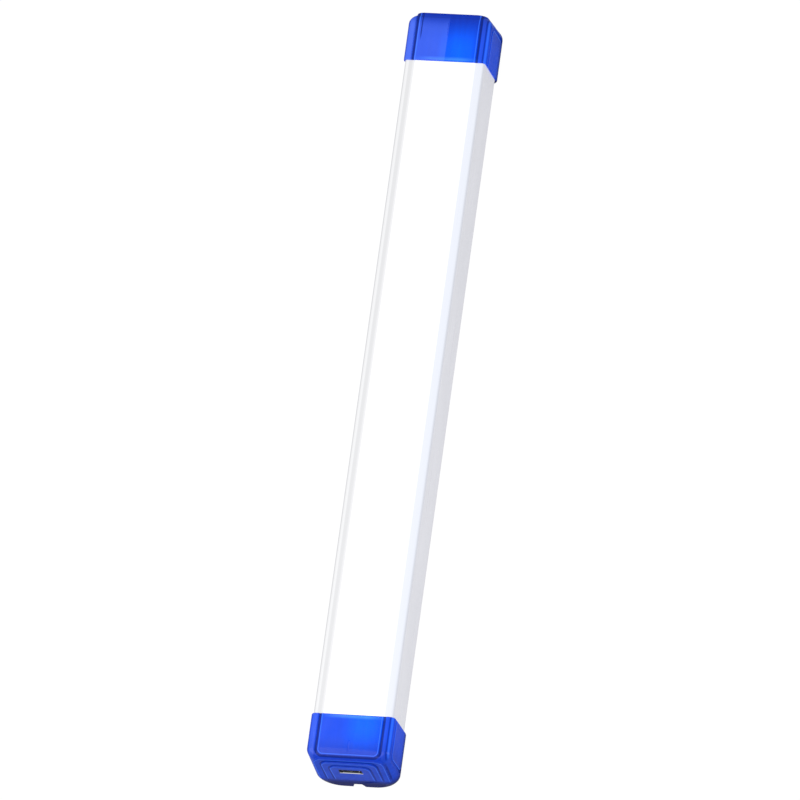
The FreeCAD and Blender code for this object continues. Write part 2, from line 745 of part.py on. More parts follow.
# Drawn in the cap's own axes, like the caps.
usb_shell = new_body("usb_shell")
can = sketch_on(usb_shell, "can", lift="$usb_start")
trapezoid(can, "$usb_width - 2 * $usb_side_slope", "$usb_width",
          "$inlet_height - $usb_height / 2", "$usb_height")
pad(usb_shell, can, "$usb_length")
mouth = sketch_on(usb_shell, "mouth", lift="$usb_start")
trapezoid(mouth, "$usb_width - 2 * $usb_side_slope - 2 * $usb_wall", "$usb_width - 2 * $usb_wall",
          "$inlet_height - $usb_height / 2 + $usb_wall", "$usb_height - 2 * $usb_wall")
pocket(usb_shell, mouth, "$usb_length - $usb_wall", reverse=True)
at_end(usb_shell, -1)

usb_tongue = box("usb_tongue", "$usb_width - 3.6", "$usb_length - $usb_wall - 1.0", "0.6",
                 "-$usb_width / 2 + 1.8", f"{USB_END} + $usb_start + 1.0",
                 "$inlet_height + 0.1")
contacts = []
for index in range(5):
    contacts.append(box(f"contact_{index + 1}", "0.3", "3.0", "0.1",
                        f"{(index - 2) * 0.65} - 0.15", f"{USB_END} + $usb_start + 1.2",
                        "$inlet_height"))
usb_contacts = group("usb_contacts", contacts)

# ---------------------------------------------------------------- mode button and switch
WALL_INSIDE = "$end_room_depth"
mode_button = new_body("mode_button")
FLANGE_START = f"({WALL_INSIDE} + $flange_gap)"
flange = sketch_on(mode_button, "flange", lift=FLANGE_START)
rounded_rectangle(flange, "$button_width + 2 * $button_flange",
                  "$inlet_height - $button_height / 2 - $button_flange",
                  "$button_height + 2 * $button_flange",
                  "$button_height / 2 + $button_flange - 0.01",
                  "$button_height / 2 + $button_flange - 0.01")
pad(mode_button, flange, "$flange_thick")
key = sketch_on(mode_button, "key", lift=f"{FLANGE_START} + 0.1")
rounded_rectangle(key, "$button_width", "$inlet_height - $button_height / 2", "$button_height",
                  "$button_height / 2 - 0.01", "$button_height / 2 - 0.01")
pad(mode_button, key, f"{FLANGE_START} + 0.1 - $button_top", reverse=True)
round_edges(mode_button, "crown", "$button_crown",
            lambda p, t: near(p.z, size("button_top"), 0.01))
at_end(mode_button, 1)

switch_plunger = new_body("switch_plunger")
stem = sketch_on(switch_plunger, "stem", lift=f"{FLANGE_START} + $flange_thick")
circle_at(stem, "$plunger_radius", "$inlet_height")
pad(switch_plunger, stem, "$plunger_length + 0.5")
at_end(switch_plunger, 1)

SWITCH_SEAT = "($cap_length - $socket_depth)"
switch_body = new_body("switch_body")
case = sketch_on(switch_body, "case", lift=SWITCH_SEAT)
rectangle(case, "$switch_width", "$inlet_height - $switch_width / 2", "$switch_width")
pad(switch_body, case, "$switch_thick", reverse=True)
well = sketch_on(switch_body, "well", lift=SWITCH_SEAT)
circle_at(well, "$plunger_radius + $plunger_gap", "$inlet_height")
pocket(switch_body, well, "$switch_thick")
at_end(switch_body, 1)

switch_board = box("switch_board", "$switch_board_width", "$switch_board_thick",
                   "$switch_board_height", "-$switch_board_width / 2",
                   f"$lamp_length / 2 - {SWITCH_SEAT} - $switch_board_thick",
                   "$inlet_height - $switch_board_height / 2")
doc.recompute()

# ---------------------------------------------------------------- leads
half_length = size("lamp_length") / 2
floor = size("tube_bottom") + size("tube_wall")
charger_top = size("inlet_height") - size("usb_height") / 2
charger_under = charger_top - size("charger_thick")
charger_end = -half_length + size("charger_start") + size("charger_length")
light_top = size("board_bottom") + size("board_thick")
light_end = -size("board_length") / 2
guard_end = -(size("cell_place") + size("cell_length") / 2 + 2 + size("guard_length"))
guard_level = floor + size("foam_thick") + size("cell_thick") / 2 - size("guard_thick") / 2
switch_back = half_length - size("cap_length") + size("socket_depth") - size("switch_board_thick")

joint_inset = size("lead_joint_inset")
lead_bend = size("lead_bend")
arch = charger_top + size("lead_arch")
leads = []
for label, side in (("led_lead_red", -1), ("led_lead_black", 1)):
    x = side * size("light_lead_place")
    joint = charger_end - joint_inset
    pad_y = light_end + size("light_pad_inset")
    leads.append(lead(label, [
        Vector(x, joint, charger_top), Vector(x, joint, arch),
        Vector(x, pad_y, arch), Vector(x, pad_y, light_top)], size("lead_bend_tight")))
for label, side in (("battery_lead_red", -1), ("battery_lead_black", 1)):
    x = side * size("battery_lead_place")
    joint = charger_end - 2 * joint_inset
    leads.append(lead(label, [
        Vector(x, guard_end, guard_level), Vector(x, joint, guard_level),
        Vector(x, joint, charger_under)], lead_bend))
side_lane = size("cell_width") / 2 + size("lead_lane_gap")
lane_end = size("lead_lane_end")
lane_level = size("lead_lane_level")
lead_drop = size("lead_drop")
for label, side in (("switch_lead_left", -1), ("switch_lead_right", 1)):
    joint = charger_end - joint_inset
    x = side * size("switch_lead_place")
    leads.append(lead(label, [
        Vector(side * side_lane, switch_back, lane_level + joint_inset),
        Vector(side * side_lane, lane_end, lane_level),
        Vector(side * side_lane, 2 - lane_end, lane_level),
        Vector(x, joint, charger_under - lead_drop),
        Vector(x, joint, charger_under)], size("lead_bend_small")))

# ---------------------------------------------------------------- checks and output
NODES = [
    usb_cap, button_cap, usb_hook, button_hook, usb_hook_pin, button_hook_pin, tube, led_board,
    *led_rows, led_resistors, *battery_cells, doc.battery_foam_a,
    doc.battery_foam_b, protection_board, battery_tabs, doc.usb_side_magnet,
    doc.button_side_magnet, charge_board, charge_controller, charge_inductor, charge_passives,
    charge_indicator, usb_shell, usb_tongue, usb_contacts, mode_button, switch_plunger,
    switch_body, switch_board, *leads,
]
doc.recompute()
for item in doc.Objects:
    if "Invalid" in item.State or "Error" in item.State:
        raise RuntimeError(f"{item.Name} did not build: {item.State}")
for node in NODES:
    shape = node.Shape
    if shape.isNull() or not shape.isValid():
        raise RuntimeError(f"{node.Label} has no valid shape")
for node in NODES:
    node.Shape.exportStep(f"parts/{node.Label}.step")
    bounds = node.Shape.BoundBox
    print(f"{node.Label:22s} solids {len(node.Shape.Solids):3d} volume {node.Shape.Volume:9.1f}"
          f"  x {bounds.XMin:7.2f}..{bounds.XMax:6.2f}  y {bounds.YMin:8.2f}..{bounds.YMax:7.2f}"
          f"  z {bounds.ZMin:6.2f}..{bounds.ZMax:5.2f}")
print(len(NODES), "nodes")
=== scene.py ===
import json
import math

import bmesh
import bpy
from bpy.props import FloatProperty, FloatVectorProperty, PointerProperty
from mathutils import Matrix, Vector


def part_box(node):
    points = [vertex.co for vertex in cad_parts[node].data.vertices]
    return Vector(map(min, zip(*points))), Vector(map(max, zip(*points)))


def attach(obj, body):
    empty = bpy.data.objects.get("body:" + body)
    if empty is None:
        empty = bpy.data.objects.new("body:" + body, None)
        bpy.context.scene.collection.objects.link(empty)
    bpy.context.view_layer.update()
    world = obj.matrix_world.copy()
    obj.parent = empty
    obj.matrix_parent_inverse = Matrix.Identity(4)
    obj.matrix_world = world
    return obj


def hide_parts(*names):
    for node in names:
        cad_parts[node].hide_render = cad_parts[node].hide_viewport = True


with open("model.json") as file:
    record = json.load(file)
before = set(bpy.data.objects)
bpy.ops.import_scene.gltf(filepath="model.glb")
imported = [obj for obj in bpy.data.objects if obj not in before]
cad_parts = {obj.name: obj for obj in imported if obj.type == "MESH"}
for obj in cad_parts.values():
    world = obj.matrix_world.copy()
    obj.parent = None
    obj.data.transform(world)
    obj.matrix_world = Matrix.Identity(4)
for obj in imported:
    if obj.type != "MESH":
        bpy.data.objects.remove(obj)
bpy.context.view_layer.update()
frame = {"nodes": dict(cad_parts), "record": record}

bl_info = {
    "name": "LED Light Tube",
    "version": (1, 0, 0),
    "blender": (4, 5, 0),
    "location": "View3D > Sidebar > Light Tube",
    "description": "Builds the visible parts, finishes and studio of a rechargeable light tube",
    "category": "Object",
}

MM = 0.001
CORNER_STEPS = 10
STACK_STEP = 20 * MM  # outlines are bridged far apart, so that none is turned or twisted
SMOOTH_ANGLE = math.radians(35)
SAME_EDGE = 1e-6
SAME_DEPTH = 1e-7  # rows of points less than this apart are one row
TUBE_LOW, TUBE_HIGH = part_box("diffuser_tube")
CAP_LOW, CAP_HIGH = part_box("usb_end_cap")
HALF_LENGTH = -CAP_LOW.y
CAP_LENGTH = CAP_HIGH.y - CAP_LOW.y
CAP_HALF_WIDTH = CAP_HIGH.x
CAP_HEIGHT = CAP_HIGH.z
INLET_HEIGHT = sum(corner.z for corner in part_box("usb_shell")) / 2
BUTTON_LOW, BUTTON_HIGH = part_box("mode_button")
PIN_LOW, PIN_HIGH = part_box("usb_end_hook_pin")

# The moulded details of a cap. From here to the property groups, lengths are in mm.
END_ANGLES = (90, 86, 81, 76, 70, 63, 54, 45, 36, 27, 18, 9, 0)  # degrees of the rounded end
# half width, top and corner of each step of the end face
TERRACES = ((13.6, 23.5, 3.6), (10.7, 22.2, 3.1), (7.8, 19.8, 2.6))
TERRACE_BACK = 3.8
TERRACE_FOOT = 0.5
# half width, low, high, start, end, low corner and high corner
SOCKET = (15.35, 1.75, 23.25, 6.0, 21.0, 4.5, 1.2)
END_ROOM = (10.0, 10.4, 20.0, 2.8, 6.5, 0.6, 0.6)
HOOK_BAY = (5.6, -2.0, 1.3, 6.2, 21.0, 0.3, 0.3)
NOTCH = (1.6, -1.0, 3.1, -1.0, 6.3, 0.1, 0.4)
NOTCH_FOOT = 1.0
NOTCH_SPREAD = 5.58 / 3.2
BEYOND = 6.0
PANEL_CORNER = 2.0
FAR_PANEL_END = -3.0
SIDE_PANEL_MIDDLE, SIDE_PANEL_HALF = 12.65, 7.25
SIDE_PANEL_END, SIDE_PANEL_CORNER = 5.0, 2.4
MARK_HALF, MARK_START, MARK_END, MARK_CORNER, MARK_EDGE = 0.24, 4.5, 9.8, 0.2, 0.14
HOLE_RIM = 0.25
SLOT_HALF, SLOT_RISE, SLOT_CORNER = 4.15, 1.3, 0.5
SLOT_PINCH = 6.6 / 8.3
BUTTON_HOLE_HALF = 5.2
BUTTON_HOLE_LESS = 0.8
THROUGH = 8.0
HAIR = 0.01  # keeps a fully rounded corner from meeting its neighbour


# ---------------------------------------------------------------- sizes and colours
class CapShape(bpy.types.PropertyGroup):
    """Sizes of the blue end caps."""
    back_round: FloatProperty(
        name="Back corner", description="Radius of the two corners that lie on the table",
        default=5.5 * MM, min=1 * MM, max=8 * MM, unit="LENGTH")
    front_round: FloatProperty(
        name="Front corner", description="Radius of the two corners beside the lit face",
        default=2.2 * MM, min=0.5 * MM, max=5 * MM, unit="LENGTH")
    end_reach: FloatProperty(
        name="End rounding", description="How far along the cap its rounded end reaches",
        default=4.0 * MM, min=1 * MM, max=8 * MM, unit="LENGTH")
    end_inset: FloatProperty(
        name="End narrowing", description="How much narrower each side is at the very end",
        default=5.1 * MM, min=0.5 * MM, max=8 * MM, unit="LENGTH")
    front_inset: FloatProperty(
        name="End lowering", description="How much the front drops at the very end",
        default=2.0 * MM, min=0.5 * MM, max=5 * MM, unit="LENGTH")
    terrace_root: FloatProperty(
        name="Terrace root", description="Height of the line where the terraces start",
        default=7.0 * MM, min=2 * MM, max=10 * MM, unit="LENGTH")
    terrace_slope: FloatProperty(
        name="Terrace slope",
        description="How much more a terrace leans back than the one inside it",
        default=math.radians(2.2), min=0.0, max=math.radians(6), unit="ROTATION")
    far_terrace_slope: FloatProperty(
        name="Far terrace slope", description="The same lean for the terraces of the button end",
        default=math.radians(1.2), min=0.0, max=math.radians(6), unit="ROTATION")
    far_lean: FloatProperty(
        name="Far end lean", description="How much the stepped face of the button end leans back",
        default=math.radians(1.2), min=0.0, max=math.radians(6), unit="ROTATION")
    end_lean: FloatProperty(
        name="End lean", description="How much the stepped face of the charging end leans back",
        default=math.radians(3.0), min=0.0, max=math.radians(6), unit="ROTATION")
    panel_width: FloatProperty(
        name="Panel width", description="Width of the raised panel on the front of a cap",
        default=23.4 * MM, min=10 * MM, max=26 * MM, unit="LENGTH")
    panel_end: FloatProperty(
        name="Panel end", description="Distance of the charging end's panel from that end",
        default=4.2 * MM, min=3 * MM, max=8 * MM, unit="LENGTH")
    groove_width: FloatProperty(
        name="Groove width", description="Width of the grooves round the panels",
        default=1.2 * MM, min=0.5 * MM, max=2 * MM, unit="LENGTH")
    groove_depth: FloatProperty(
        name="Groove depth", description="Depth of the grooves round the panels",
        default=0.5 * MM, min=0.1 * MM, max=0.8 * MM, unit="LENGTH")
    edge_round: FloatProperty(
        name="Edge softness", description="Radius of the moulded edges",
        default=0.3 * MM, min=0.05 * MM, max=0.6 * MM, unit="LENGTH")


class LampColours(bpy.types.PropertyGroup):
    """Colours of the finishes."""
    cap: FloatVectorProperty(
        name="End caps", description="Colour of the moulded end caps",
        default=(0.0, 0.052, 0.70), min=0, max=1, subtype="COLOR")
    # Painted shade: the caps' colour towards their ends, away from the light that leaks in from the
    # tube.
    cap_shade: FloatVectorProperty(
        name="End caps, thick", description="Colour where the cap's plastic is thick",
        default=(0.0, 0.018, 0.36), min=0, max=1, subtype="COLOR")
    cap_glow: FloatVectorProperty(
        name="Cap glow", description="Light that leaks from the tube into the caps",
        default=(0.0, 0.13, 0.70), min=0, max=1, subtype="COLOR")
    # Painted reflection: the paler tone over the left of each cap's front and on its corner posts.
    cap_reflection: FloatVectorProperty(
        name="Cap haze", description="Paler tone where the cap's wall is thin",
        default=(0.075, 0.15, 0.78), min=0, max=1, subtype="COLOR")
    light: FloatVectorProperty(
        name="Light", description="Colour of the lit front",
        default=(1.0, 1.0, 1.0), min=0, max=1, subtype="COLOR")
    tube_side: FloatVectorProperty(
        name="Tube side", description="Glow of the tube's side walls",
        default=(0.33, 0.33, 0.35), min=0, max=1, subtype="COLOR")
    button: FloatVectorProperty(
        name="Button", description="Colour of the soft mode button",
        default=(0.012, 0.060, 0.42), min=0, max=1, subtype="COLOR")


class StudioLight(bpy.types.PropertyGroup):
    """Floor, lights and viewpoint."""
    floor: FloatVectorProperty(
        name="Floor", description="Colour that the floor throws back at the lamp",
        default=(0.34, 0.34, 0.36), min=0, max=1, subtype="COLOR")
    sweep: FloatProperty(
        name="White sweep", description="How far the floor is white to the camera alone",
        default=0.88, min=0, max=1, subtype="FACTOR")
    key_power: FloatProperty(
        name="Key light", description="Power of the large soft lamp overhead",
        default=9.0, min=0, max=200, subtype="POWER")
    side_power: FloatProperty(
        name="Side light", description="Power of the narrow lamp at the side",
        default=3.0, min=0, max=200, subtype="POWER")
    turn: FloatProperty(
        name="View turn", description="How far the camera stands to the side of the lamp's front",
        default=math.radians(15.452), unit="ROTATION")
    tilt: FloatProperty(
        name="View tilt", description="How far the camera stands towards the charging end",
        default=math.radians(18.333), unit="ROTATION")
    roll: FloatProperty(
        name="View roll", description="How far the camera leans over",
        default=math.radians(7.964), unit="ROTATION")
    distance: FloatProperty(
        name="Distance", description="From the middle of the lamp to the camera",
        default=8.228, min=0.5, max=20, unit="LENGTH")
    lens: FloatProperty(
        name="Lens", description="Focal length of the camera, for a 36 mm sensor",
        default=1000.55, min=20, max=2000, unit="CAMERA")
    aim_across: FloatProperty(
        name="Aim across", description="How far right of the middle the lamp sits in the view",
        default=2.16 * MM, unit="LENGTH")
    aim_up: FloatProperty(
        name="Aim up", description="How far above the middle the lamp sits in the view",
        default=1.09 * MM, unit="LENGTH")


# ---------------------------------------------------------------- modelling by hand, in code
def activate(piece):
    """Make a piece the only selected and active object."""
    bpy.ops.object.select_all(action="DESELECT")
    piece.hide_set(False)
    piece.select_set(True)
    bpy.context.view_layer.objects.active = piece


def begin(name):
    """An empty mesh object in edit mode."""
    piece = bpy.data.objects.new(name, bpy.data.meshes.new(name))
    bpy.context.scene.collection.objects.link(piece)
    activate(piece)
    bpy.ops.object.mode_set(mode="EDIT")
    bpy.ops.mesh.select_mode(type="VERT")
    return piece


def select_where(piece, test):
    """Select exactly the visible vertices that pass the test."""
    shape = bmesh.from_edit_mesh(piece.data)
    for vertex in shape.verts:
        vertex.select_set(not vertex.hide and test(vertex))
    shape.select_flush_mode()
    bmesh.update_edit_mesh(piece.data)


def mark_outline(piece, number):
    """Write an outline's number on the vertices that are visible."""
    shape = bmesh.from_edit_mesh(piece.data)
    layer = shape.verts.layers.int.get("outline") or shape.verts.layers.int.new("outline")
    for vertex in shape.verts:
        if not vertex.hide:
            vertex[layer] = number
    bmesh.update_edit_mesh(piece.data)


def select_outlines(piece, numbers):
    shape = bmesh.from_edit_mesh(piece.data)
    layer = shape.verts.layers.int["outline"]
    select_where(piece, lambda vertex: vertex[layer] in numbers)


def add_outline(piece, number, half_width, low, high, level, low_round, high_round):
    """A rounded rectangle, flat at a level, as a bare loop of edges; then hide it."""
    middle = (low + high) / 2
    bpy.ops.mesh.select_all(action="DESELECT")
    bpy.ops.mesh.primitive_plane_add(size=1.0, location=(0.0, middle, level))
    bpy.ops.transform.resize(value=(2 * half_width, high - low, 1.0),
                             center_override=(0.0, middle, level))
    for radius, edge in ((low_round, low), (high_round, high)):
        select_where(piece, lambda vertex: abs(vertex.co.y - edge) < SAME_EDGE)
        bpy.ops.mesh.bevel(offset_type="OFFSET", offset=radius, segments=CORNER_STEPS,
                           affect="VERTICES", clamp_overlap=False)
    bpy.ops.mesh.select_all(action="SELECT")
    bpy.ops.mesh.delete(type="ONLY_FACE")
    mark_outline(piece, number)
    bpy.ops.mesh.select_all(action="SELECT")
    bpy.ops.mesh.hide(unselected=False)


def skin(name, outlines, ring=False):
    """Bridge a stack of outlines into a closed skin, capped or joined into a ring, then set
    each outline at its own level."""
    piece = begin(name)
    for number, (half_width, low, high, _, low_round, high_round) in enumerate(outlines):
        add_outline(piece, number, half_width, low, high, number * STACK_STEP,
                    low_round, high_round)
    bpy.ops.mesh.reveal(select=False)
    last = len(outlines) - 1
    for number in range(last):
        select_outlines(piece, (number, number + 1))
        bpy.ops.mesh.bridge_edge_loops(type="SINGLE")
    if ring:
        select_outlines(piece, (last, 0))
        bpy.ops.mesh.bridge_edge_loops(type="SINGLE")
    else:
        for number in (0, last):
            select_outlines(piece, (number,))
            bpy.ops.mesh.edge_face_add()
    for number, outline in enumerate(outlines):
        select_outlines(piece, (number,))
        bpy.ops.transform.translate(value=(0.0, 0.0, outline[3] - number * STACK_STEP))
    bpy.ops.mesh.select_all(action="SELECT")
    bpy.ops.mesh.normals_make_consistent(inside=False)
    bpy.ops.object.mode_set(mode="OBJECT")
    piece.data.attributes.remove(piece.data.attributes["outline"])
    return piece


def upright(piece):
    """Stand a skin up, so that its levels run towards -Y and its height towards +Z."""
    return place(piece, Matrix.Rotation(math.pi / 2, 4, "X"))


def place(piece, matrix):
    """Move or turn a piece, and keep the place in its mesh."""
    activate(piece)
    piece.matrix_world = matrix
    bpy.ops.object.transform_apply(location=True, rotation=True, scale=True)
    return piece


def at_near_end(piece):
    """Depth along +Y becomes depth from the charging end."""
    return place(piece, Matrix.Translation((0, -HALF_LENGTH, 0)))


def at_far_end(piece):
    """Depth along +Y becomes depth from the button end."""
    return place(piece, Matrix.Translation((0, HALF_LENGTH, 0)) @ Matrix.Rotation(math.pi, 4, "Z"))


def in_mm(sizes):
    return [size * MM for size in sizes]


def tunnel(name, half_width, low, high, start, end, low_round, high_round):
    """An upright bar from one depth to another."""
    return upright(skin(name, [(half_width, low, high, -depth, low_round, high_round)
                               for depth in (start, end)]))


def pinch(piece, below, factor):
    """Narrow the part of a piece that is below a height."""
    activate(piece)
    bpy.ops.object.mode_set(mode="EDIT")
    select_where(piece, lambda vertex: vertex.co.z < below)
    bpy.ops.transform.resize(value=(factor, 1.0, 1.0), center_override=(0.0, 0.0, 0.0))
    bpy.ops.object.mode_set(mode="OBJECT")
    return piece


def combine(piece, other, operation):
    """Add another solid to a piece, or cut it out."""
    activate(piece)
    bpy.ops.object.modifier_add(type="BOOLEAN")
    modifier = piece.modifiers[-1]
    modifier.operation = operation
    modifier.solver = "EXACT"
    modifier.object = other
    bpy.ops.object.modifier_apply(modifier=modifier.name)
    bpy.data.objects.remove(other, do_unlink=True)
    if not piece.data.polygons:
        raise RuntimeError(f"{piece.name}: {operation} left nothing")
    return piece


def soften(piece):
    """Merge doubles, and shade the result smooth between its sharp edges."""
    activate(piece)
    bpy.ops.object.mode_set(mode="EDIT")
    bpy.ops.mesh.select_all(action="SELECT")
    bpy.ops.mesh.remove_doubles(threshold=0.004 * MM)
    bpy.ops.mesh.dissolve_degenerate(threshold=0.002 * MM)
    bpy.ops.object.mode_set(mode="OBJECT")
    bpy.ops.object.shade_smooth_by_angle(angle=SMOOTH_ANGLE)
    bpy.ops.object.modifier_add(type="WEIGHTED_NORMAL")
    modifier = piece.modifiers[-1]
    modifier.keep_sharp = True
    bpy.ops.object.modifier_apply(modifier=modifier.name)
    return piece


def copy_of(piece, name):
    """A copy with its own mesh."""
    twin = piece.copy()
    twin.data = piece.data.copy()
    twin.name = twin.data.name = name
    bpy.context.scene.collection.objects.link(twin)
    return twin


def finished(piece, body, slot, *nodes):
    """Hand a piece over to the frame, with its body, its finish and the nodes it stands for."""
    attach(piece, body)
    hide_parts(*nodes)
    piece.data.materials.clear()
    piece.data.materials.append(bpy.data.materials[f"{slot}_finish"])


# ---------------------------------------------------------------- end caps
def quarter(count):
    """Angles from nothing to a right angle, in equal steps."""
    return [math.pi / 2 * step / count for step in range(count + 1)]


def cap_blank(shape, lean):
    """The outer moulding without its details: depth runs along +Y from the end of the lamp.
    Above the line that the terraces start from, its end leans back."""
    rows = []
    edge = shape.edge_round
    for degrees in END_ANGLES:
        angle = math.radians(degrees)
        depth = shape.end_reach * (1 - math.sin(angle))
        narrowing = 1 - math.cos(angle)
        lift = edge - math.sqrt(edge ** 2 - max(0.0, edge - depth) ** 2)
        rows.append((CAP_HALF_WIDTH - shape.end_inset * narrowing, lift,
                     CAP_HEIGHT - shape.front_inset * narrowing, depth))
    for angle in quarter(3):
        inset = edge * (1 - math.cos(angle))
        rows.append((CAP_HALF_WIDTH - inset, inset, CAP_HEIGHT - inset,
                     CAP_LENGTH - edge * (1 - math.sin(angle))))
    blank = upright(skin("cap_blank", [
        (half, low, high, -depth, shape.back_round, shape.front_round)
        for half, low, high, depth in rows]))
    activate(blank)
    bpy.ops.object.mode_set(mode="EDIT")
    for row in reversed(rows[:len(END_ANGLES)]):
        depth = row[3]
        select_where(blank, lambda vertex: abs(vertex.co.y - depth) < SAME_DEPTH
                     and vertex.co.z > shape.terrace_root)
        centre = (0.0, depth, shape.terrace_root)
        bpy.ops.transform.rotate(value=lean, orient_axis="X", orient_type="GLOBAL",
                                 center_override=centre)
        bpy.ops.transform.resize(value=(1.0, 1.0, 1 / math.cos(lean)), center_override=centre)
    bpy.ops.object.mode_set(mode="OBJECT")
    return blank


def terrace(shape, half_width, top, corner, slope):
    """One step of the end face, with a soft rim, leaning back from the line all the steps share."""
    edge = shape.edge_round
    rows = [(0.0, TERRACE_BACK * MM)]
    rows += [(edge * (1 - math.cos(angle)), edge * (1 - math.sin(angle))) for angle in quarter(4)]
    step = upright(skin("terrace", [
        (half_width - inset, shape.terrace_root + inset, top - inset, -depth,
         TERRACE_FOOT * MM, corner - inset) for inset, depth in rows]))
    return lean_back(step, shape, slope)


def lean_back(piece, shape, slope):
    """Turn a piece about the line that all the terraces start from."""
    pivot = Vector((0, 0, shape.terrace_root))
    return place(piece, Matrix.Translation(pivot) @ Matrix.Rotation(-slope, 4, "X")
                 @ Matrix.Translation(-pivot))


def groove_ring(shape, half_width, panel_end, far, level, corner):
    """A cutter for the groove round a raised panel: the edges roll over, the floor is rounded."""
    edge = 0.6 * shape.edge_round
    width = shape.groove_width
    depth = shape.groove_depth
    side = [(-edge, -0.5 * MM)]
    side += [(edge * (math.sin(angle) - 1), edge * (1 - math.cos(angle)) + 0.004 * MM)
             for angle in quarter(3)]
    side += [(0.05 * width, depth * 0.82), (0.16 * width, depth)]
    rows = side + [(width - offset, down) for offset, down in reversed(side)]
    return skin("groove", [
        (half_width + offset, panel_end - offset, far + offset, level - down,
         corner + offset, 0.4 * MM + offset) for offset, down in rows], ring=True)


def middle_mark():
    """A cutter for the short groove along the middle of a cap's front."""
    edge = MARK_EDGE * MM
    return skin("mark", [
        (MARK_HALF * MM + offset, MARK_START * MM - offset, MARK_END * MM + offset,
         CAP_HEIGHT - down, MARK_CORNER * MM, MARK_CORNER * MM)
        for offset, down in ((0.0, 0.22 * MM), (0.03 * MM, 0.12 * MM), (edge, 0.004 * MM),
                             (edge, -0.5 * MM))])


def moulded_cap(shape, end_lean, terrace_slope, panel_end):
    """An end cap with its terraces, panels, hook bay and tube socket, without its opening."""
    cap = cap_blank(shape, 3 * terrace_slope + end_lean)
    for number, (half_width, top, corner) in enumerate(TERRACES):
        slope = (2 - number) * terrace_slope + end_lean
        combine(cap, terrace(shape, half_width * MM, top * MM, corner * MM, slope), "UNION")
    for name, sizes in (("socket", SOCKET), ("end_room", END_ROOM)):
        combine(cap, tunnel(name, *in_mm(sizes)), "DIFFERENCE")
    far = CAP_LENGTH + BEYOND * MM
    combine(cap, groove_ring(shape, shape.panel_width / 2, panel_end, far, CAP_HEIGHT,
                             PANEL_CORNER * MM), "DIFFERENCE")
    for side in (-1, 1):
        ring = groove_ring(shape, SIDE_PANEL_HALF * MM, SIDE_PANEL_END * MM, far,
                           CAP_HALF_WIDTH, SIDE_PANEL_CORNER * MM)
        place(ring, Matrix.Translation((0, 0, SIDE_PANEL_MIDDLE * MM))
              @ Matrix.Rotation(side * math.pi / 2, 4, "Y"))
        combine(cap, ring, "DIFFERENCE")
    combine(cap, middle_mark(), "DIFFERENCE")
    combine(cap, tunnel("bay", *in_mm(HOOK_BAY)), "DIFFERENCE")
    notch = pinch(tunnel("notch", *in_mm(NOTCH)), NOTCH_FOOT * MM, NOTCH_SPREAD)
    combine(cap, notch, "DIFFERENCE")
    return cap


class TUBE_OT_end_caps(bpy.types.Operator):
    """Mould the two blue end caps, with the inlet's slot and the button's hole."""
    bl_idname = "light_tube.end_caps"
    bl_label = "End Caps"

    def execute(self, context):
        shape = context.scene.cap_shape
        near_cap = moulded_cap(shape, shape.end_lean, shape.terrace_slope, shape.panel_end)
        near_cap.name = near_cap.data.name = "usb_cap_shell"
        far_cap = moulded_cap(shape, shape.far_lean, shape.far_terrace_slope,
                              FAR_PANEL_END * MM)
        far_cap.name = far_cap.data.name = "button_cap_shell"
        rim = HOLE_RIM * MM
        rows = [(rim, -1.0 * MM)]
        rows += [(rim * (1 - math.sin(angle)), rim * (1 - math.cos(angle))) for angle in quarter(3)]
        rows += [(0.0, THROUGH * MM)]
        slot_corner = SLOT_CORNER * MM
        slot = upright(skin("slot", [
            (SLOT_HALF * MM + out, INLET_HEIGHT - SLOT_RISE * MM - out,
             INLET_HEIGHT + SLOT_RISE * MM + out, -depth, slot_corner + out, slot_corner + out)
            for out, depth in rows]))
        drop = (INLET_HEIGHT - shape.terrace_root) * math.tan(shape.end_lean)
        place(pinch(slot, INLET_HEIGHT, SLOT_PINCH), Matrix.Translation((0, drop, 0)))
        combine(near_cap, slot, "DIFFERENCE")
        half_height = (BUTTON_HIGH.z - BUTTON_LOW.z) / 2 - BUTTON_HOLE_LESS * MM
        hole = upright(skin("hole", [
            (BUTTON_HOLE_HALF * MM + out, INLET_HEIGHT - half_height - out,
             INLET_HEIGHT + half_height + out, -depth,
             half_height + out - HAIR * MM, half_height + out - HAIR * MM)
            for out, depth in rows]))
        combine(far_cap, hole, "DIFFERENCE")
        for cap, settle, node in ((near_cap, at_near_end, "usb_end_cap"),
                                  (far_cap, at_far_end, "button_end_cap")):
            settle(soften(cap))
            finished(cap, "lamp", "cap_plastic", node)
        return {"FINISHED"}


# ---------------------------------------------------------------- tube
# the tube, in mm: a wall, the back and front corners outside and inside, and the rails
TUBE_WALL = 1.3
OUTER_CORNERS = (4.5, 1.2)
INNER_CORNERS = (3.2, 0.5)
RAIL_SIZE = 0.9
RAIL_GAP = 0.1
RAIL_REACH = 0.6
RAIL_CORNER = 0.2


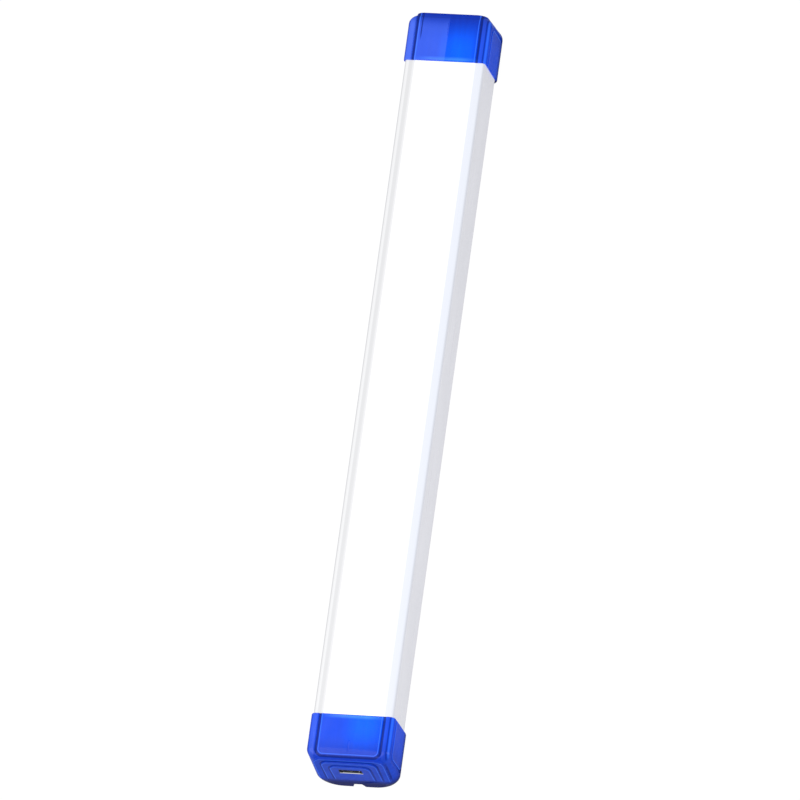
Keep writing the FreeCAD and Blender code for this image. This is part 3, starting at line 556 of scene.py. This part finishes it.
class TUBE_OT_diffuser(bpy.types.Operator):
    """Extrude the milky tube that spreads the light, with the rails that hold the light board."""
    bl_idname = "light_tube.diffuser"
    bl_label = "Diffuser"

    def execute(self, context):
        wall = TUBE_WALL * MM
        ends = (TUBE_LOW.y, TUBE_HIGH.y)
        outside_rows = [(TUBE_HIGH.x, TUBE_LOW.z, TUBE_HIGH.z, -depth, *in_mm(OUTER_CORNERS))
                        for depth in ends]
        inside_rows = [(TUBE_HIGH.x - wall, TUBE_LOW.z + wall, TUBE_HIGH.z - wall, -depth,
                        *in_mm(INNER_CORNERS)) for depth in reversed(ends)]
        tube = upright(skin("diffuser_shell", outside_rows + inside_rows, ring=True))
        board_low, board_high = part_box("led_board")
        size = RAIL_SIZE * MM
        corner = RAIL_CORNER * MM
        middle = TUBE_HIGH.x - wall - RAIL_REACH * MM
        for side in (-1, 1):
            for low in (board_low.z - size, board_high.z + RAIL_GAP * MM):
                rail = tunnel("rail", size, low, low + size, *ends, corner, corner)
                place(rail, Matrix.Translation((side * middle, 0, 0)))
                combine(tube, rail, "UNION")
        finished(soften(tube), "lamp", "diffuser", "diffuser_tube")
        return {"FINISHED"}


# ---------------------------------------------------------------- button, hooks and pins
# the button, in mm
FLANGE_WIDTH = 1.0
FLANGE_THICK = 0.6
FLANGE_EDGE = 0.1
CROWN_ROUND = 0.6
DISH = ((0.95, 0.02), (1.25, 0.12), (1.55, 0.2), (1.9, 0.23))  # inset and depth


class TUBE_OT_mode_button(bpy.types.Operator):
    """Mould the soft mode button, with its flange, rolled rim and dished top."""
    bl_idname = "light_tube.mode_button"
    bl_label = "Mode Button"

    def execute(self, context):
        top = HALF_LENGTH - BUTTON_HIGH.y
        root = HALF_LENGTH - BUTTON_LOW.y
        flange = FLANGE_WIDTH * MM
        flange_top = root - FLANGE_THICK * MM
        edge = FLANGE_EDGE * MM
        half = BUTTON_HIGH.x - flange
        tall = (BUTTON_HIGH.z - BUTTON_LOW.z) / 2 - flange
        crown = CROWN_ROUND * MM
        rows = [(-flange, root), (-flange, flange_top + edge), (edge - flange, flange_top),
                (-0.8 * edge, flange_top), (0.0, flange_top - edge)]
        rows += [(crown * (1 - math.cos(angle)), top + crown * (1 - math.sin(angle)))
                 for angle in quarter(5)]
        rows += [(inset * MM, top + down * MM) for inset, down in DISH]
        button = upright(skin("mode_button_key", [
            (half - inset, INLET_HEIGHT - tall + inset, INLET_HEIGHT + tall - inset, -depth,
             tall - inset - HAIR * MM, tall - inset - HAIR * MM) for inset, depth in rows]))
        finished(at_far_end(soften(button)), "button", "button_rubber", "mode_button")
        return {"FINISHED"}


# the hook, in mm
HOOK_REACH = 13.8
HOOK_PLATE = 0.8
HOOK_EDGE = 0.18
HOOK_WIDTH = 1.8
# half width, start and end past its middle, corner, place across, and how far it cuts
HOOK_MOUTH = (2.0, -0.6, 2.4, 0.4, -4.6, 3.0)
EYE_RADIUS = 1.3
EYE_BORE = 0.8
EYE_CHAMFER = 0.1
PIN_CHAMFER = 0.2


def turned(name, radius, half_width, chamfer):
    """A round bar along Z with chamfered ends."""
    return skin(name, [
        (size, -size, size, level, size - HAIR * MM, size - HAIR * MM)
        for size, level in ((radius - chamfer, -half_width), (radius, chamfer - half_width),
                            (radius, half_width - chamfer), (radius - chamfer, half_width))])


def stamped_hook():
    """A flat C-shaped hook on a rolled eye: depth along +Y, opening towards -X."""
    low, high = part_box("usb_end_hook")
    reach = HOOK_REACH * MM
    plate = HOOK_PLATE * MM
    edge = HOOK_EDGE * MM
    outer = high.y + HALF_LENGTH - reach
    inner = outer - HOOK_WIDTH * MM
    side = [(outer - edge, 0.0), (outer - 0.3 * edge, 0.3 * edge), (outer, edge),
            (outer, plate - edge), (outer - 0.3 * edge, plate - 0.3 * edge), (outer - edge, plate)]
    side += [(outer + inner - radius, level) for radius, level in reversed(side)]
    hook = skin("hook", [(radius, reach - radius, reach + radius, low.z + level,
                          radius - HAIR * MM, radius - HAIR * MM) for radius, level in side],
                ring=True)
    half_width, start, end, corner, across, through = in_mm(HOOK_MOUTH)
    mouth = skin("mouth", [(half_width, reach + start, reach + end, level, corner, corner)
                           for level in (-through, through)])
    combine(hook, place(mouth, Matrix.Translation((across, 0, 0))), "DIFFERENCE")
    pin_depth = (PIN_LOW.y + PIN_HIGH.y) / 2 + HALF_LENGTH
    pin_height = (PIN_LOW.z + PIN_HIGH.z) / 2
    shank = skin("shank", [
        (EYE_RADIUS * MM - inset, pin_depth - 0.3 * MM, reach - inner - 0.7 * MM, low.z + level,
         0.2 * MM, 0.2 * MM)
        for inset, level in ((edge, 0.002 * MM), (0.0, edge), (0.0, plate - edge),
                             (edge, plate - 0.002 * MM))])
    combine(hook, shank, "UNION")
    for radius, half_width, operation in ((EYE_RADIUS, EYE_RADIUS, "UNION"),
                                          (EYE_BORE, 3.0, "DIFFERENCE")):
        roll = turned("eye", radius * MM, half_width * MM, EYE_CHAMFER * MM)
        place(roll, Matrix.Translation((0, pin_depth, pin_height))
              @ Matrix.Rotation(math.pi / 2, 4, "Y"))
        combine(hook, roll, operation)
    return soften(hook)


class TUBE_OT_hooks(bpy.types.Operator):
    """Stamp the two fold-out hanging hooks."""
    bl_idname = "light_tube.hooks"
    bl_label = "Hanging Hooks"

    def execute(self, context):
        near_hook = stamped_hook()
        near_hook.name = near_hook.data.name = "usb_hanging_hook"
        far_hook = copy_of(near_hook, "button_hanging_hook")
        finished(at_near_end(near_hook), "usb_hook", "hook_steel", "usb_end_hook")
        finished(at_far_end(far_hook), "button_hook", "hook_steel", "button_end_hook")
        return {"FINISHED"}


class TUBE_OT_hook_pins(bpy.types.Operator):
    """Turn the two pins that the hooks swing on, with chamfered ends."""
    bl_idname = "light_tube.hook_pins"
    bl_label = "Hook Pins"

    def execute(self, context):
        radius = (PIN_HIGH.z - PIN_LOW.z) / 2
        pin = turned("usb_hook_axle", radius, PIN_HIGH.x, PIN_CHAMFER * MM)
        depth = (PIN_LOW.y + PIN_HIGH.y) / 2 + HALF_LENGTH
        place(pin, Matrix.Translation((0, depth, (PIN_LOW.z + PIN_HIGH.z) / 2))
              @ Matrix.Rotation(math.pi / 2, 4, "Y"))
        soften(pin)
        far_pin = copy_of(pin, "button_hook_axle")
        finished(at_near_end(pin), "lamp", "pin_steel", "usb_end_hook_pin")
        finished(at_far_end(far_pin), "lamp", "pin_steel", "button_end_hook_pin")
        return {"FINISHED"}


# ---------------------------------------------------------------- finishes
class Shade:
    """A socket of a node tree that takes part in arithmetic: each step adds its Math node."""

    def __init__(self, tree, socket=None):
        self.tree = tree
        self.socket = socket

    def node(self, kind, settings=None, inputs=None, output=0):
        """Add a node: its settings are made first, then its sockets get values or links."""
        made = self.tree.nodes.new(kind)
        for name, value in (settings or {}).items():
            if name == "stops":
                for number, (at, colour) in enumerate(value):
                    elements = made.color_ramp.elements
                    stop = elements[number] if number < len(elements) else elements.new(at)
                    stop.position = at
                    stop.color = (*colour, 1.0)
            else:
                setattr(made, name, value)
        for name, value in (inputs or {}).items():
            if isinstance(value, Shade):
                self.tree.links.new(value.socket, made.inputs[name])
            else:
                made.inputs[name].default_value = value
        return Shade(self.tree, made.outputs[output])

    def output(self, number):
        """Another output of the node that this socket belongs to."""
        return Shade(self.tree, self.socket.node.outputs[number])

    def math(self, operation, *values):
        return self.node("ShaderNodeMath", {"operation": operation}, dict(enumerate(values)))

    def __add__(self, other):
        return self.math("ADD", self, other)

    def __sub__(self, other):
        return self.math("SUBTRACT", self, other)

    def __mul__(self, other):
        return self.math("MULTIPLY", self, other)

    def __radd__(self, other):
        return self.math("ADD", other, self)

    def __rsub__(self, other):
        return self.math("SUBTRACT", other, self)

    def __rmul__(self, other):
        return self.math("MULTIPLY", other, self)

    def size(self):
        return self.math("ABSOLUTE", self)

    def above(self, least):
        return self.math("MAXIMUM", self, least)

    def root(self):
        return self.math("SQRT", self)

    def rise(self, low, high):
        """0 below low, 1 above high, and a soft step between."""
        return self.node("ShaderNodeMapRange", {"interpolation_type": "SMOOTHSTEP"},
                         {"Value": self, "From Min": low, "From Max": high})

    def blend(self, first, second):
        """The first colour where this is 0, the second where it is 1."""
        return self.node("ShaderNodeMix", {"data_type": "RGBA", "clamp_factor": True},
                         {0: self, 6: first, 7: second}, output=2)

    def noise(self, where, scale, detail=3.0, stretch=(1.0, 1.0, 1.0)):
        """Cloudy values from 0 to 1, in millimetres of the piece's own space."""
        spread = self.node("ShaderNodeMapping", {"vector_type": "POINT"},
                           {"Vector": where, "Scale": [part / MM for part in stretch]})
        return self.node("ShaderNodeTexNoise", {"noise_dimensions": "3D"},
                         {"Vector": spread, "Scale": scale, "Detail": detail})


def solid(colour):
    return (*colour, 1.0)


def new_finish(slot, **sockets):
    """A material for a slot, its shader, and the piece's own coordinates in millimetres."""
    material = bpy.data.materials.new(f"{slot}_finish")
    material.use_nodes = True
    shader = material.node_tree.nodes["Principled BSDF"]
    for name, value in sockets.items():
        shader.inputs[name.replace("_", " ")].default_value = value
    where = Shade(material.node_tree).node("ShaderNodeTexCoord", output=3)
    split = where.node("ShaderNodeSeparateXYZ", inputs={0: where})
    axes = [split.output(number) * (1 / MM) for number in range(3)]
    return material, shader, where, axes


def wire_up(shader, **links):
    """Link the varying sockets of a shader."""
    for name, value in links.items():
        value.tree.links.new(value.socket, shader.inputs[name.replace("_", " ")])


def bumped(height, distance, strength=1.0):
    return height.node("ShaderNodeBump", inputs={
        "Height": height, "Distance": distance, "Strength": strength})


# painted shade, reflection and highlight across the width of a cap's front: mm from its middle, and
# how strong
# painted shade beside the corner posts, and painted dim reflections along the corners
CORNER_SHADE_TONES = ((-16.0, 0.9), (-15.5, 0.4), (-15.1, 0.0), (12.6, 0.0), (14.2, 0.1), (14.5, 0.9),
              (14.8, 0.2), (15.9, 0.0))
# painted reflection: a paler tone on the corner posts
REFLECTION_TONES = ((-15.2, 0.0), (-14.8, 1.0), (-13.4, 0.8), (-12.8, 0.0), (12.6, 0.0), (13.0, 0.3),
              (14.0, 0.3), (14.4, 0.0))
# painted highlight along the rounded right front corner
CORNER_HIGHLIGHT_TONES = ((-15.9, 0.0), (14.8, 0.0), (15.15, 0.7), (15.5, 0.5), (15.9, 0.0))
# where a cap's finish and the light and shade painted on it change, in mm: heights
FRONT_FADE = (21.0, 23.2)
ROOT_FADE = (7.0, 9.0)
# painted shade towards the bottom
BOTTOM_SHADE_FADE = (3.5, 9.0)
LIT_FADE = (3.5, 10.0)
# distances from the middle
SIDE_FADE = (15.3, 15.9)
# where the painted reflection fades across the front
NEAR_REFLECTION = (-10.0, 6.0)
FAR_REFLECTION = (-0.3, 0.3)
SECOND_GROOVE = 10.3
SECOND_GROOVE_HALF = 0.2
CORE_MIDDLE = 5.0
CORE_HALF = 10.0
HOLE_SIDES = (4.4, 4.5)
HOLE_TOP = (1.60, 1.70)
LIP_TOP = (-1.25, -1.15)
# distances from the end of the lamp
PAST_END = 12.0
END_FADE = (2.3, 3.2)
# where the painted reflection fades in from the end
REFLECTION_FADE = (1.0, 8.0)
# painted shade towards the end of a cap
END_SHADE_FADE = (1.0, 13.0)
SECOND_GROOVE_FADE = (9.0, 13.0)
CORE_FADE = (3.0, 16.0)
HOLE_FADE = (3.0, 3.5)
LIP_FADE = (0.5, 0.65)
RIM_START = (18.0, 19.4)
RIM_STOP = (19.55, 19.75)
# distances outside the outline of a panel or a terrace: a band of painted shade in the groove or at
# the foot, and a painted highlight on the edge
GROOVE_SHADE = (0.15, 1.0)
GROOVE_HIGHLIGHT = (-0.45, -0.15)
SIDE_GROOVE_SHADE = (0.1, 0.9)
SIDE_GROOVE_HIGHLIGHT = (-0.4, -0.15)
STEP_SHADE = (-0.05, 0.5)
STEP_HIGHLIGHT = (-0.55, -0.3)
# colours of the light and shade painted on the plastic: painted shade, highlights and glow, and
# black for no glow
NONE = (0.0, 0.0, 0.0)
# painted shade in the grooves and at the terrace feet, as base colour and as glow
SHADE_BODY = (0.0, 0.005, 0.12)
SHADE_GLOW = (0.0, 0.008, 0.08)
# painted highlight: a pale blue glow on the edges
HIGHLIGHT_GLOW = (0.05, 0.20, 0.85)
# painted shade: a deeper navy towards the bottom
BOTTOM_SHADE = (0.0, 0.008, 0.15)
# painted shade: near black inside the inlet's slot
SLOT_SHADE = (0.008, 0.008, 0.010)
# painted highlight: a pale grey glow on the slot's lower edge, in place of the lit steel flare of
# the inlet
LIP_HIGHLIGHT = (0.62, 0.63, 0.66)
# painted light: the glow of the cap's walls and of its rim by the tube
WALL_GLOW = (0.008, 0.062, 0.44)
RIM_GLOW = (0.12, 0.40, 0.95)
# tones across the width of the tube's front, from its left edge to its right one
LIT_TONES = ((0.0, 0.40), (0.012, 0.44), (0.026, 0.64), (0.050, 0.66), (0.062, 0.54),
             (0.098, 0.55), (0.108, 0.62), (0.125, 0.66), (0.140, 0.95), (0.87, 0.95),
             (0.895, 0.72), (0.975, 0.70), (0.990, 0.54), (1.0, 0.44))
COOL_FROM = 0.88
COOL_TINT = (0.86, 0.90, 1.0)
LIT_FRONT_FADE = (21.8, 22.9)
FRONT_WALL = (0.24, 0.24, 0.25)
SIDE_WALL = (0.60, 0.60, 0.62)


def across_tones(x, tones):
    """Turn a position across the cap, in mm, into the tones of a table."""
    half = CAP_HALF_WIDTH / MM
    stops = [((at + half) / (2 * half), (tone, tone, tone)) for at, tone in tones]
    place_across = (x + half) * (0.5 / half)
    return place_across.node("ShaderNodeValToRGB", {"stops": stops}, {"Fac": place_across})


def outside(across, half, along, end, corner):
    """Distance in mm outside a rounded outline that is open on one side."""
    sideways = (across.size() - (half - corner)).above(0.0)
    onwards = (along - (end - corner)).above(0.0)
    return (sideways * sideways + onwards * onwards).root() - corner


def band(distance, low, high, soft=0.15):
    """1 between two distances, with soft edges."""
    return distance.rise(low - soft, low + soft) * (1.0 - distance.rise(high - soft, high + soft))


def cap_painted_lines(shape, x, z, depth, front, side, far_end):
    """How strong the painted shade is in the grooves, beside the corner posts and at the feet of
    the terraces, and the painted highlights on the edges beside them, from 0 to 1.
    """
    end = (1.0 - depth.rise(*END_FADE)) * z.rise(*ROOT_FADE)
    # the groove of the far panel runs out over the end
    ring = outside(x, shape.panel_width / 2 / MM, 0.0 - depth - far_end * PAST_END,
                   -shape.panel_end / MM, PANEL_CORNER)
    side_ring = outside(z - SIDE_PANEL_MIDDLE, SIDE_PANEL_HALF, 0.0 - depth,
                        -SIDE_PANEL_END, SIDE_PANEL_CORNER)
    # painted shade of a second groove on the button end's front, which is not modelled
    second = band((x + SECOND_GROOVE).size(), -1.0, SECOND_GROOVE_HALF)
    second = second * far_end * (1.0 - depth.rise(*SECOND_GROOVE_FADE))
    # painted shade in the grooves round the panels and beside the corner posts
    painted_shade = (across_tones(x, CORNER_SHADE_TONES) + band(ring, *GROOVE_SHADE) + second) * front
    painted_shade = painted_shade + band(side_ring, *SIDE_GROOVE_SHADE) * side
    # painted highlights on the right front corner and on the edges beside the grooves
    painted_highlight = (across_tones(x, CORNER_HIGHLIGHT_TONES) + band(ring, *GROOVE_HIGHLIGHT, 0.1) * 0.8) * front
    painted_highlight = painted_highlight + band(side_ring, *SIDE_GROOVE_HIGHLIGHT, 0.1) * side * 0.7
    # painted shade at the foot of each terrace, and a painted highlight on its rim
    for half, top, corner in TERRACES:
        step = outside(x, half, z, top, corner)
        painted_shade = painted_shade + band(step, *STEP_SHADE) * end * 0.9
        painted_highlight = painted_highlight + band(step, *STEP_HIGHLIGHT, 0.12) * end * 0.6
    return painted_shade, painted_highlight


def cap_plastic(colours, shape):
    """Glossy, slightly see-through blue plastic with a painted glow from within, strongest where it
    holds the tube, and with painted shade, highlights and reflection.
    """
    _, shader, where, (x, y, z) = new_finish(
        "cap_plastic", IOR=1.28, Emission_Strength=1.0)
    depth = HALF_LENGTH / MM - y.size()
    front = z.rise(*FRONT_FADE)
    side = x.size().rise(*SIDE_FADE)
    far_end = y.rise(-20.0, 20.0)
    near_end = 1.0 - far_end
    streaks = where.noise(where, 0.55, 4.0, stretch=(1.0, 0.09, 1.0))
    clouds = where.noise(where, 0.16, 2.0)
    grain = where.noise(where, 9.0, 4.0)
    painted_shade, painted_highlight = cap_painted_lines(shape, x, z, depth, front, side, far_end)
    # painted reflection: a paler tone over the left of the front, stronger at the button end, and
    # on the corner posts
    painted_reflection = (1.0 - x.rise(*FAR_REFLECTION)) * far_end + (1.0 - x.rise(*NEAR_REFLECTION)) * near_end
    painted_reflection = painted_reflection * front * (0.02 + far_end * 0.42 + clouds * 0.25) * depth.rise(*REFLECTION_FADE)
    painted_reflection = painted_reflection + across_tones(x, REFLECTION_TONES) * front * (0.45 + far_end * 0.2)
    above = z - INLET_HEIGHT / MM
    hole = (1.0 - x.size().rise(*HOLE_SIDES)) * (1.0 - above.size().rise(*HOLE_TOP))
    hole = hole * (1.0 - depth.rise(*HOLE_FADE)) * near_end
    lip = hole * (1.0 - above.rise(*LIP_TOP)) * (1.0 - depth.rise(*LIP_FADE))

    # painted shade: a deeper blue towards the end, away from the tube's light
    body = depth.rise(*END_SHADE_FADE).blend(solid(colours.cap_shade), solid(colours.cap))
    body = painted_reflection.blend(body, solid(colours.cap_reflection))
    # painted shade: a deep navy in the grooves and at the feet of the terraces
    body = (painted_shade * 0.85).blend(body, solid(SHADE_BODY))
    # painted shade: a deeper navy towards the bottom of each cap
    body = z.rise(*BOTTOM_SHADE_FADE).blend(solid(BOTTOM_SHADE), body)
    # painted shade: near black over the blue walls inside the inlet's slot, with no glow
    body = hole.blend(body, solid(SLOT_SHADE))

    # painted light: the walls glow blue from within, less on the front and on the sides
    wall = z.rise(*LIT_FADE) * (0.64 - front * 0.32 - side * 0.24) * (0.45 + streaks * 0.9)
    core = (1.0 - (x - CORE_MIDDLE).size().rise(0.0, CORE_HALF)) * depth.rise(*CORE_FADE)
    rim = depth.rise(*RIM_START) * (1.0 - depth.rise(*RIM_STOP))
    rim = rim * (1.0 - (x - 1.0).size().rise(4.0, 14.0)) * (0.1 + clouds * 0.6)
    glow = wall.blend(solid(NONE), solid(WALL_GLOW))
    glow = (core * front * (0.40 + streaks * 0.5)).blend(glow, solid(colours.cap_glow))
    # painted shade: little glow in the grooves and at the feet of the terraces
    glow = (painted_shade * 0.85).blend(glow, solid(SHADE_GLOW))
    # painted highlights: a pale blue glow on the edges
    glow = (painted_highlight * 0.8).blend(glow, solid(HIGHLIGHT_GLOW))
    glow = rim.blend(glow, solid(RIM_GLOW))
    glow = hole.blend(glow, solid(NONE))
    # painted highlight: a pale grey glow on the slot's lower edge, in place of the lit steel flare
    # of the inlet
    glow = lip.blend(glow, solid(LIP_HIGHLIGHT))
    wire_up(shader, Base_Color=body, Emission_Color=glow,
            Roughness=0.13 + grain * 0.07 + streaks * 0.05,
            Normal=bumped(streaks * 0.7 + grain * 0.06, 0.05 * MM, 0.5))


def diffuser(colours):
    """Milky tube wall: blown out over the light board, greyer towards its edges and sides."""
    _, shader, where, (x, _, z) = new_finish(
        "diffuser", IOR=1.45, Emission_Strength=1.0)
    width = (TUBE_HIGH.x - TUBE_LOW.x) / MM
    across = (x + width / 2) * (1 / width)
    face = across.node("ShaderNodeValToRGB", {"stops": [
        (at, [tone * channel * (tint if at > COOL_FROM else 1.0)
              for channel, tint in zip(colours.light, COOL_TINT)])
        for at, tone in LIT_TONES]}, {"Fac": across})
    front = z.rise(*LIT_FRONT_FADE)
    clouds = where.noise(where, 0.12, 2.0, stretch=(1.0, 0.25, 1.0))
    side = clouds.blend(solid([0.82 * tone for tone in colours.tube_side]),
                        solid(colours.tube_side))
    grain = where.noise(where, 6.0, 3.0)
    streaks = where.noise(where, 0.9, 3.0, stretch=(1.0, 0.02, 1.0))
    wire_up(shader, Emission_Color=front.blend(side, face),
            Base_Color=front.blend(solid(SIDE_WALL), solid(FRONT_WALL)),
            Roughness=0.24 + streaks * 0.10,
            Normal=bumped(streaks * 0.8 + grain * 0.1, 0.02 * MM, 0.4))


def plain_finish(slot, colour, other, grain, roughness, relief, stretch=(1.0, 1.0, 1.0), **sockets):
    """A finish whose colour, gloss and relief all follow one cloudy or brushed pattern."""
    _, shader, where, _ = new_finish(slot, **sockets)
    pattern = where.noise(where, grain, 4.0, stretch=stretch)
    fine = where.noise(where, grain * 6.0, 2.0, stretch=stretch)
    wire_up(shader, Base_Color=pattern.rise(0.3, 0.7).blend(solid(other), solid(colour)),
            Roughness=(roughness - 0.06) + pattern * 0.08 + fine * 0.06,
            Normal=bumped(pattern * 0.6 + fine * 0.4, relief * MM, 0.5))


BRUSHED = (1.0, 0.06, 1.0)
WOUND = (0.2, 1.0, 0.2)
# slot: colour, second colour, grain, roughness, relief in mm, stretch, constants of the shader
PLAIN_FINISHES = {
    "switch_black": ((0.012, 0.012, 0.013), (0.022, 0.022, 0.024), 3.0, 0.42, 0.02, None, {}),
    "switch_metal": ((0.72, 0.72, 0.73), (0.60, 0.60, 0.62), 3.0, 0.28, 0.004, BRUSHED,
                     {"Metallic": 1.0}),
    "circuit_board": ((0.010, 0.110, 0.038), (0.016, 0.165, 0.060), 1.1, 0.38, 0.02, None,
                      {"Coat_Weight": 0.4}),
    "hook_steel": ((0.62, 0.63, 0.65), (0.50, 0.51, 0.53), 2.2, 0.26, 0.006, BRUSHED,
                   {"Metallic": 1.0}),
    "pin_steel": ((0.66, 0.67, 0.69), (0.54, 0.55, 0.57), 3.0, 0.22, 0.004, WOUND,
                  {"Metallic": 1.0}),
    "light_board": ((0.80, 0.80, 0.78), (0.70, 0.71, 0.70), 0.8, 0.40, 0.01, None,
                    {"Coat_Weight": 0.3}),
    "led_package": ((0.85, 0.72, 0.22), (0.88, 0.84, 0.62), 1.6, 0.32, 0.02, None, {}),
    "chip_black": ((0.016, 0.016, 0.018), (0.030, 0.030, 0.032), 5.0, 0.48, 0.02, None, {}),
    "cell_foil": ((0.60, 0.61, 0.63), (0.46, 0.47, 0.50), 0.5, 0.30, 0.08, None,
                  {"Metallic": 0.9}),
    "foam_tape": ((0.09, 0.09, 0.10), (0.05, 0.05, 0.06), 4.0, 0.85, 0.10, None, {}),
    "nickel": ((0.62, 0.59, 0.53), (0.50, 0.48, 0.43), 2.5, 0.30, 0.005, BRUSHED,
               {"Metallic": 1.0}),
    "magnet_nickel": ((0.64, 0.62, 0.58), (0.54, 0.52, 0.48), 1.2, 0.20, 0.004, None,
                      {"Metallic": 1.0}),
    "chip_tan": ((0.50, 0.36, 0.20), (0.62, 0.58, 0.54), 1.4, 0.45, 0.02, None, {}),
    "indicator_lens": ((0.85, 0.25, 0.20), (0.92, 0.55, 0.45), 2.0, 0.18, 0.01, None,
                       {"Coat_Weight": 0.6}),
    "usb_steel": ((0.78, 0.78, 0.79), (0.62, 0.62, 0.64), 3.0, 0.22, 0.004, BRUSHED,
                  {"Metallic": 1.0}),
    "contact_gold": ((0.86, 0.58, 0.20), (0.74, 0.48, 0.15), 4.0, 0.25, 0.003, BRUSHED,
                     {"Metallic": 1.0}),
    "wire_red": ((0.48, 0.015, 0.012), (0.36, 0.010, 0.010), 2.0, 0.40, 0.01, None, {}),
    "wire_black": ((0.014, 0.014, 0.015), (0.026, 0.026, 0.028), 2.0, 0.40, 0.01, None, {}),
    "wire_white": ((0.74, 0.74, 0.72), (0.62, 0.62, 0.60), 2.0, 0.40, 0.01, None, {}),
}


class TUBE_OT_finishes(bpy.types.Operator):
    """Mix every finish and give it to the inner parts that keep their modelled shape."""
    bl_idname = "light_tube.finishes"
    bl_label = "Finishes"

    def execute(self, context):
        colours = context.scene.lamp_colours
        cap_plastic(colours, context.scene.cap_shape)
        diffuser(colours)
        plain_finish("button_rubber", colours.button, [0.82 * part for part in colours.button],
                     1.5, 0.50, 0.03, Sheen_Weight=0.15)
        for slot, (*look, stretch, sockets) in PLAIN_FINISHES.items():
            plain_finish(slot, *look, stretch=stretch or (1.0, 1.0, 1.0), **sockets)
        for entry in frame["record"]["subparts"]:
            for holder in frame["nodes"][entry["node"]].material_slots:
                holder.material = bpy.data.materials[f"{entry['material_slot']}_finish"]
        return {"FINISHED"}


# ---------------------------------------------------------------- stage
FLOOR_SIZE = 8.0
FLOOR_GAP = 0.02 * MM
SWEEP_GLOW = 1.12
AIR_COLOUR = (0.95, 0.97, 1.0)
AIR_STRENGTH = 0.55
# name, size across and along, and place, in metres
KEY_LIGHT = ("key_light", 0.9, 1.2, (-0.55, -0.35, 1.0))
SIDE_LIGHT = ("side_light", 0.15, 0.9, (0.75, -0.2, 0.35))


class TUBE_OT_studio(bpy.types.Operator):
    """Lay the pale floor, hang the soft lights and set the camera."""
    bl_idname = "light_tube.studio"
    bl_label = "Studio"

    def execute(self, context):
        studio = context.scene.studio_light
        self.lay_floor(studio)
        self.hang_lights(context, studio)
        self.set_camera(context, studio)
        context.scene.view_settings.view_transform = "Standard"
        return {"FINISHED"}

    def lay_floor(self, studio):
        bpy.ops.mesh.primitive_plane_add(size=FLOOR_SIZE, location=(0, 0, -FLOOR_GAP))
        floor = bpy.context.object
        floor.name = "studio_floor"
        bpy.ops.object.transform_apply(location=True, rotation=True, scale=True)
        material, shader, where, _ = new_finish("floor", Specular_IOR_Level=0.2)
        clouds = where.noise(where, 0.004, 2.0)
        tone = clouds.blend(solid([0.97 * part for part in studio.floor]), solid(studio.floor))
        wire_up(shader, Base_Color=tone, Roughness=0.75 + clouds * 0.1)
        seen = where.node("ShaderNodeLightPath")
        sweep = where.node("ShaderNodeEmission", inputs={
            "Color": solid((1.0, 1.0, 1.0)), "Strength": SWEEP_GLOW})
        lit = where.node("ShaderNodeMixShader", inputs={
            0: seen * studio.sweep, 1: Shade(where.tree, shader.outputs[0]), 2: sweep})
        target = material.node_tree.nodes["Material Output"]
        where.tree.links.new(lit.socket, target.inputs["Surface"])
        floor.data.materials.append(material)

    def hang_lights(self, context, studio):
        world = bpy.data.worlds.new("studio_air")
        world.use_nodes = True
        air = world.node_tree.nodes["Background"]
        air.inputs["Color"].default_value = solid(AIR_COLOUR)
        air.inputs["Strength"].default_value = AIR_STRENGTH
        context.scene.world = world
        for power, (name, across, along, spot) in ((studio.key_power, KEY_LIGHT),
                                                   (studio.side_power, SIDE_LIGHT)):
            bpy.ops.object.light_add(type="AREA", location=spot)
            lamp = bpy.context.object
            lamp.name = name
            lamp.data.shape = "RECTANGLE"
            lamp.data.size = across
            lamp.data.size_y = along
            lamp.data.energy = power
            lamp.rotation_euler = (-Vector(spot)).to_track_quat("-Z", "Y").to_euler()

    def set_camera(self, context, studio):
        sight = Vector((math.sin(studio.turn) * math.cos(studio.tilt), -math.sin(studio.tilt),
                        math.cos(studio.turn) * math.cos(studio.tilt)))
        level = Vector((0, 1, 0)).cross(sight).normalized()
        rise = sight.cross(level)
        right = level * math.cos(studio.roll) + rise * math.sin(studio.roll)
        up = rise * math.cos(studio.roll) - level * math.sin(studio.roll)
        middle = Vector((0, 0, CAP_HEIGHT / 2))
        spot = middle + sight * studio.distance - right * studio.aim_across - up * studio.aim_up
        axes = Matrix((right, up, sight)).transposed()
        bpy.ops.object.camera_add(location=spot, rotation=axes.to_euler())
        camera = bpy.context.object
        camera.name = "studio_camera"
        camera.data.sensor_width = 36.0
        camera.data.lens = studio.lens
        camera.data.clip_start = 0.1
        camera.data.clip_end = 30.0
        context.scene.camera = camera


# ---------------------------------------------------------------- panel and main
OPERATORS = (TUBE_OT_studio, TUBE_OT_finishes, TUBE_OT_end_caps, TUBE_OT_diffuser,
             TUBE_OT_mode_button, TUBE_OT_hooks, TUBE_OT_hook_pins)
GROUPS = {"cap_shape": CapShape, "lamp_colours": LampColours, "studio_light": StudioLight}


class TUBE_PT_sidebar(bpy.types.Panel):
    """Lists the sizes, the colours and the steps that build the lamp."""
    bl_idname = "TUBE_PT_sidebar"
    bl_label = "Light Tube"
    bl_space_type = "VIEW_3D"
    bl_region_type = "UI"
    bl_category = "Light Tube"

    def draw(self, context):
        for name, group in GROUPS.items():
            box = self.layout.box()
            for prop in group.__annotations__:
                box.prop(getattr(context.scene, name), prop)
        for operator in OPERATORS:
            self.layout.operator(operator.bl_idname)


CLASSES = (*GROUPS.values(), *OPERATORS, TUBE_PT_sidebar)


def register():
    for item in CLASSES:
        bpy.utils.register_class(item)
    for name, group in GROUPS.items():
        setattr(bpy.types.Scene, name, PointerProperty(type=group))


def unregister():
    for name in GROUPS:
        delattr(bpy.types.Scene, name)
    for item in reversed(CLASSES):
        bpy.utils.unregister_class(item)


def main():
    register()
    for operator in OPERATORS:
        family, step = operator.bl_idname.split(".")
        getattr(getattr(bpy.ops, family), step)()
    bpy.context.view_layer.update()


if __name__ == "__main__":
    main()
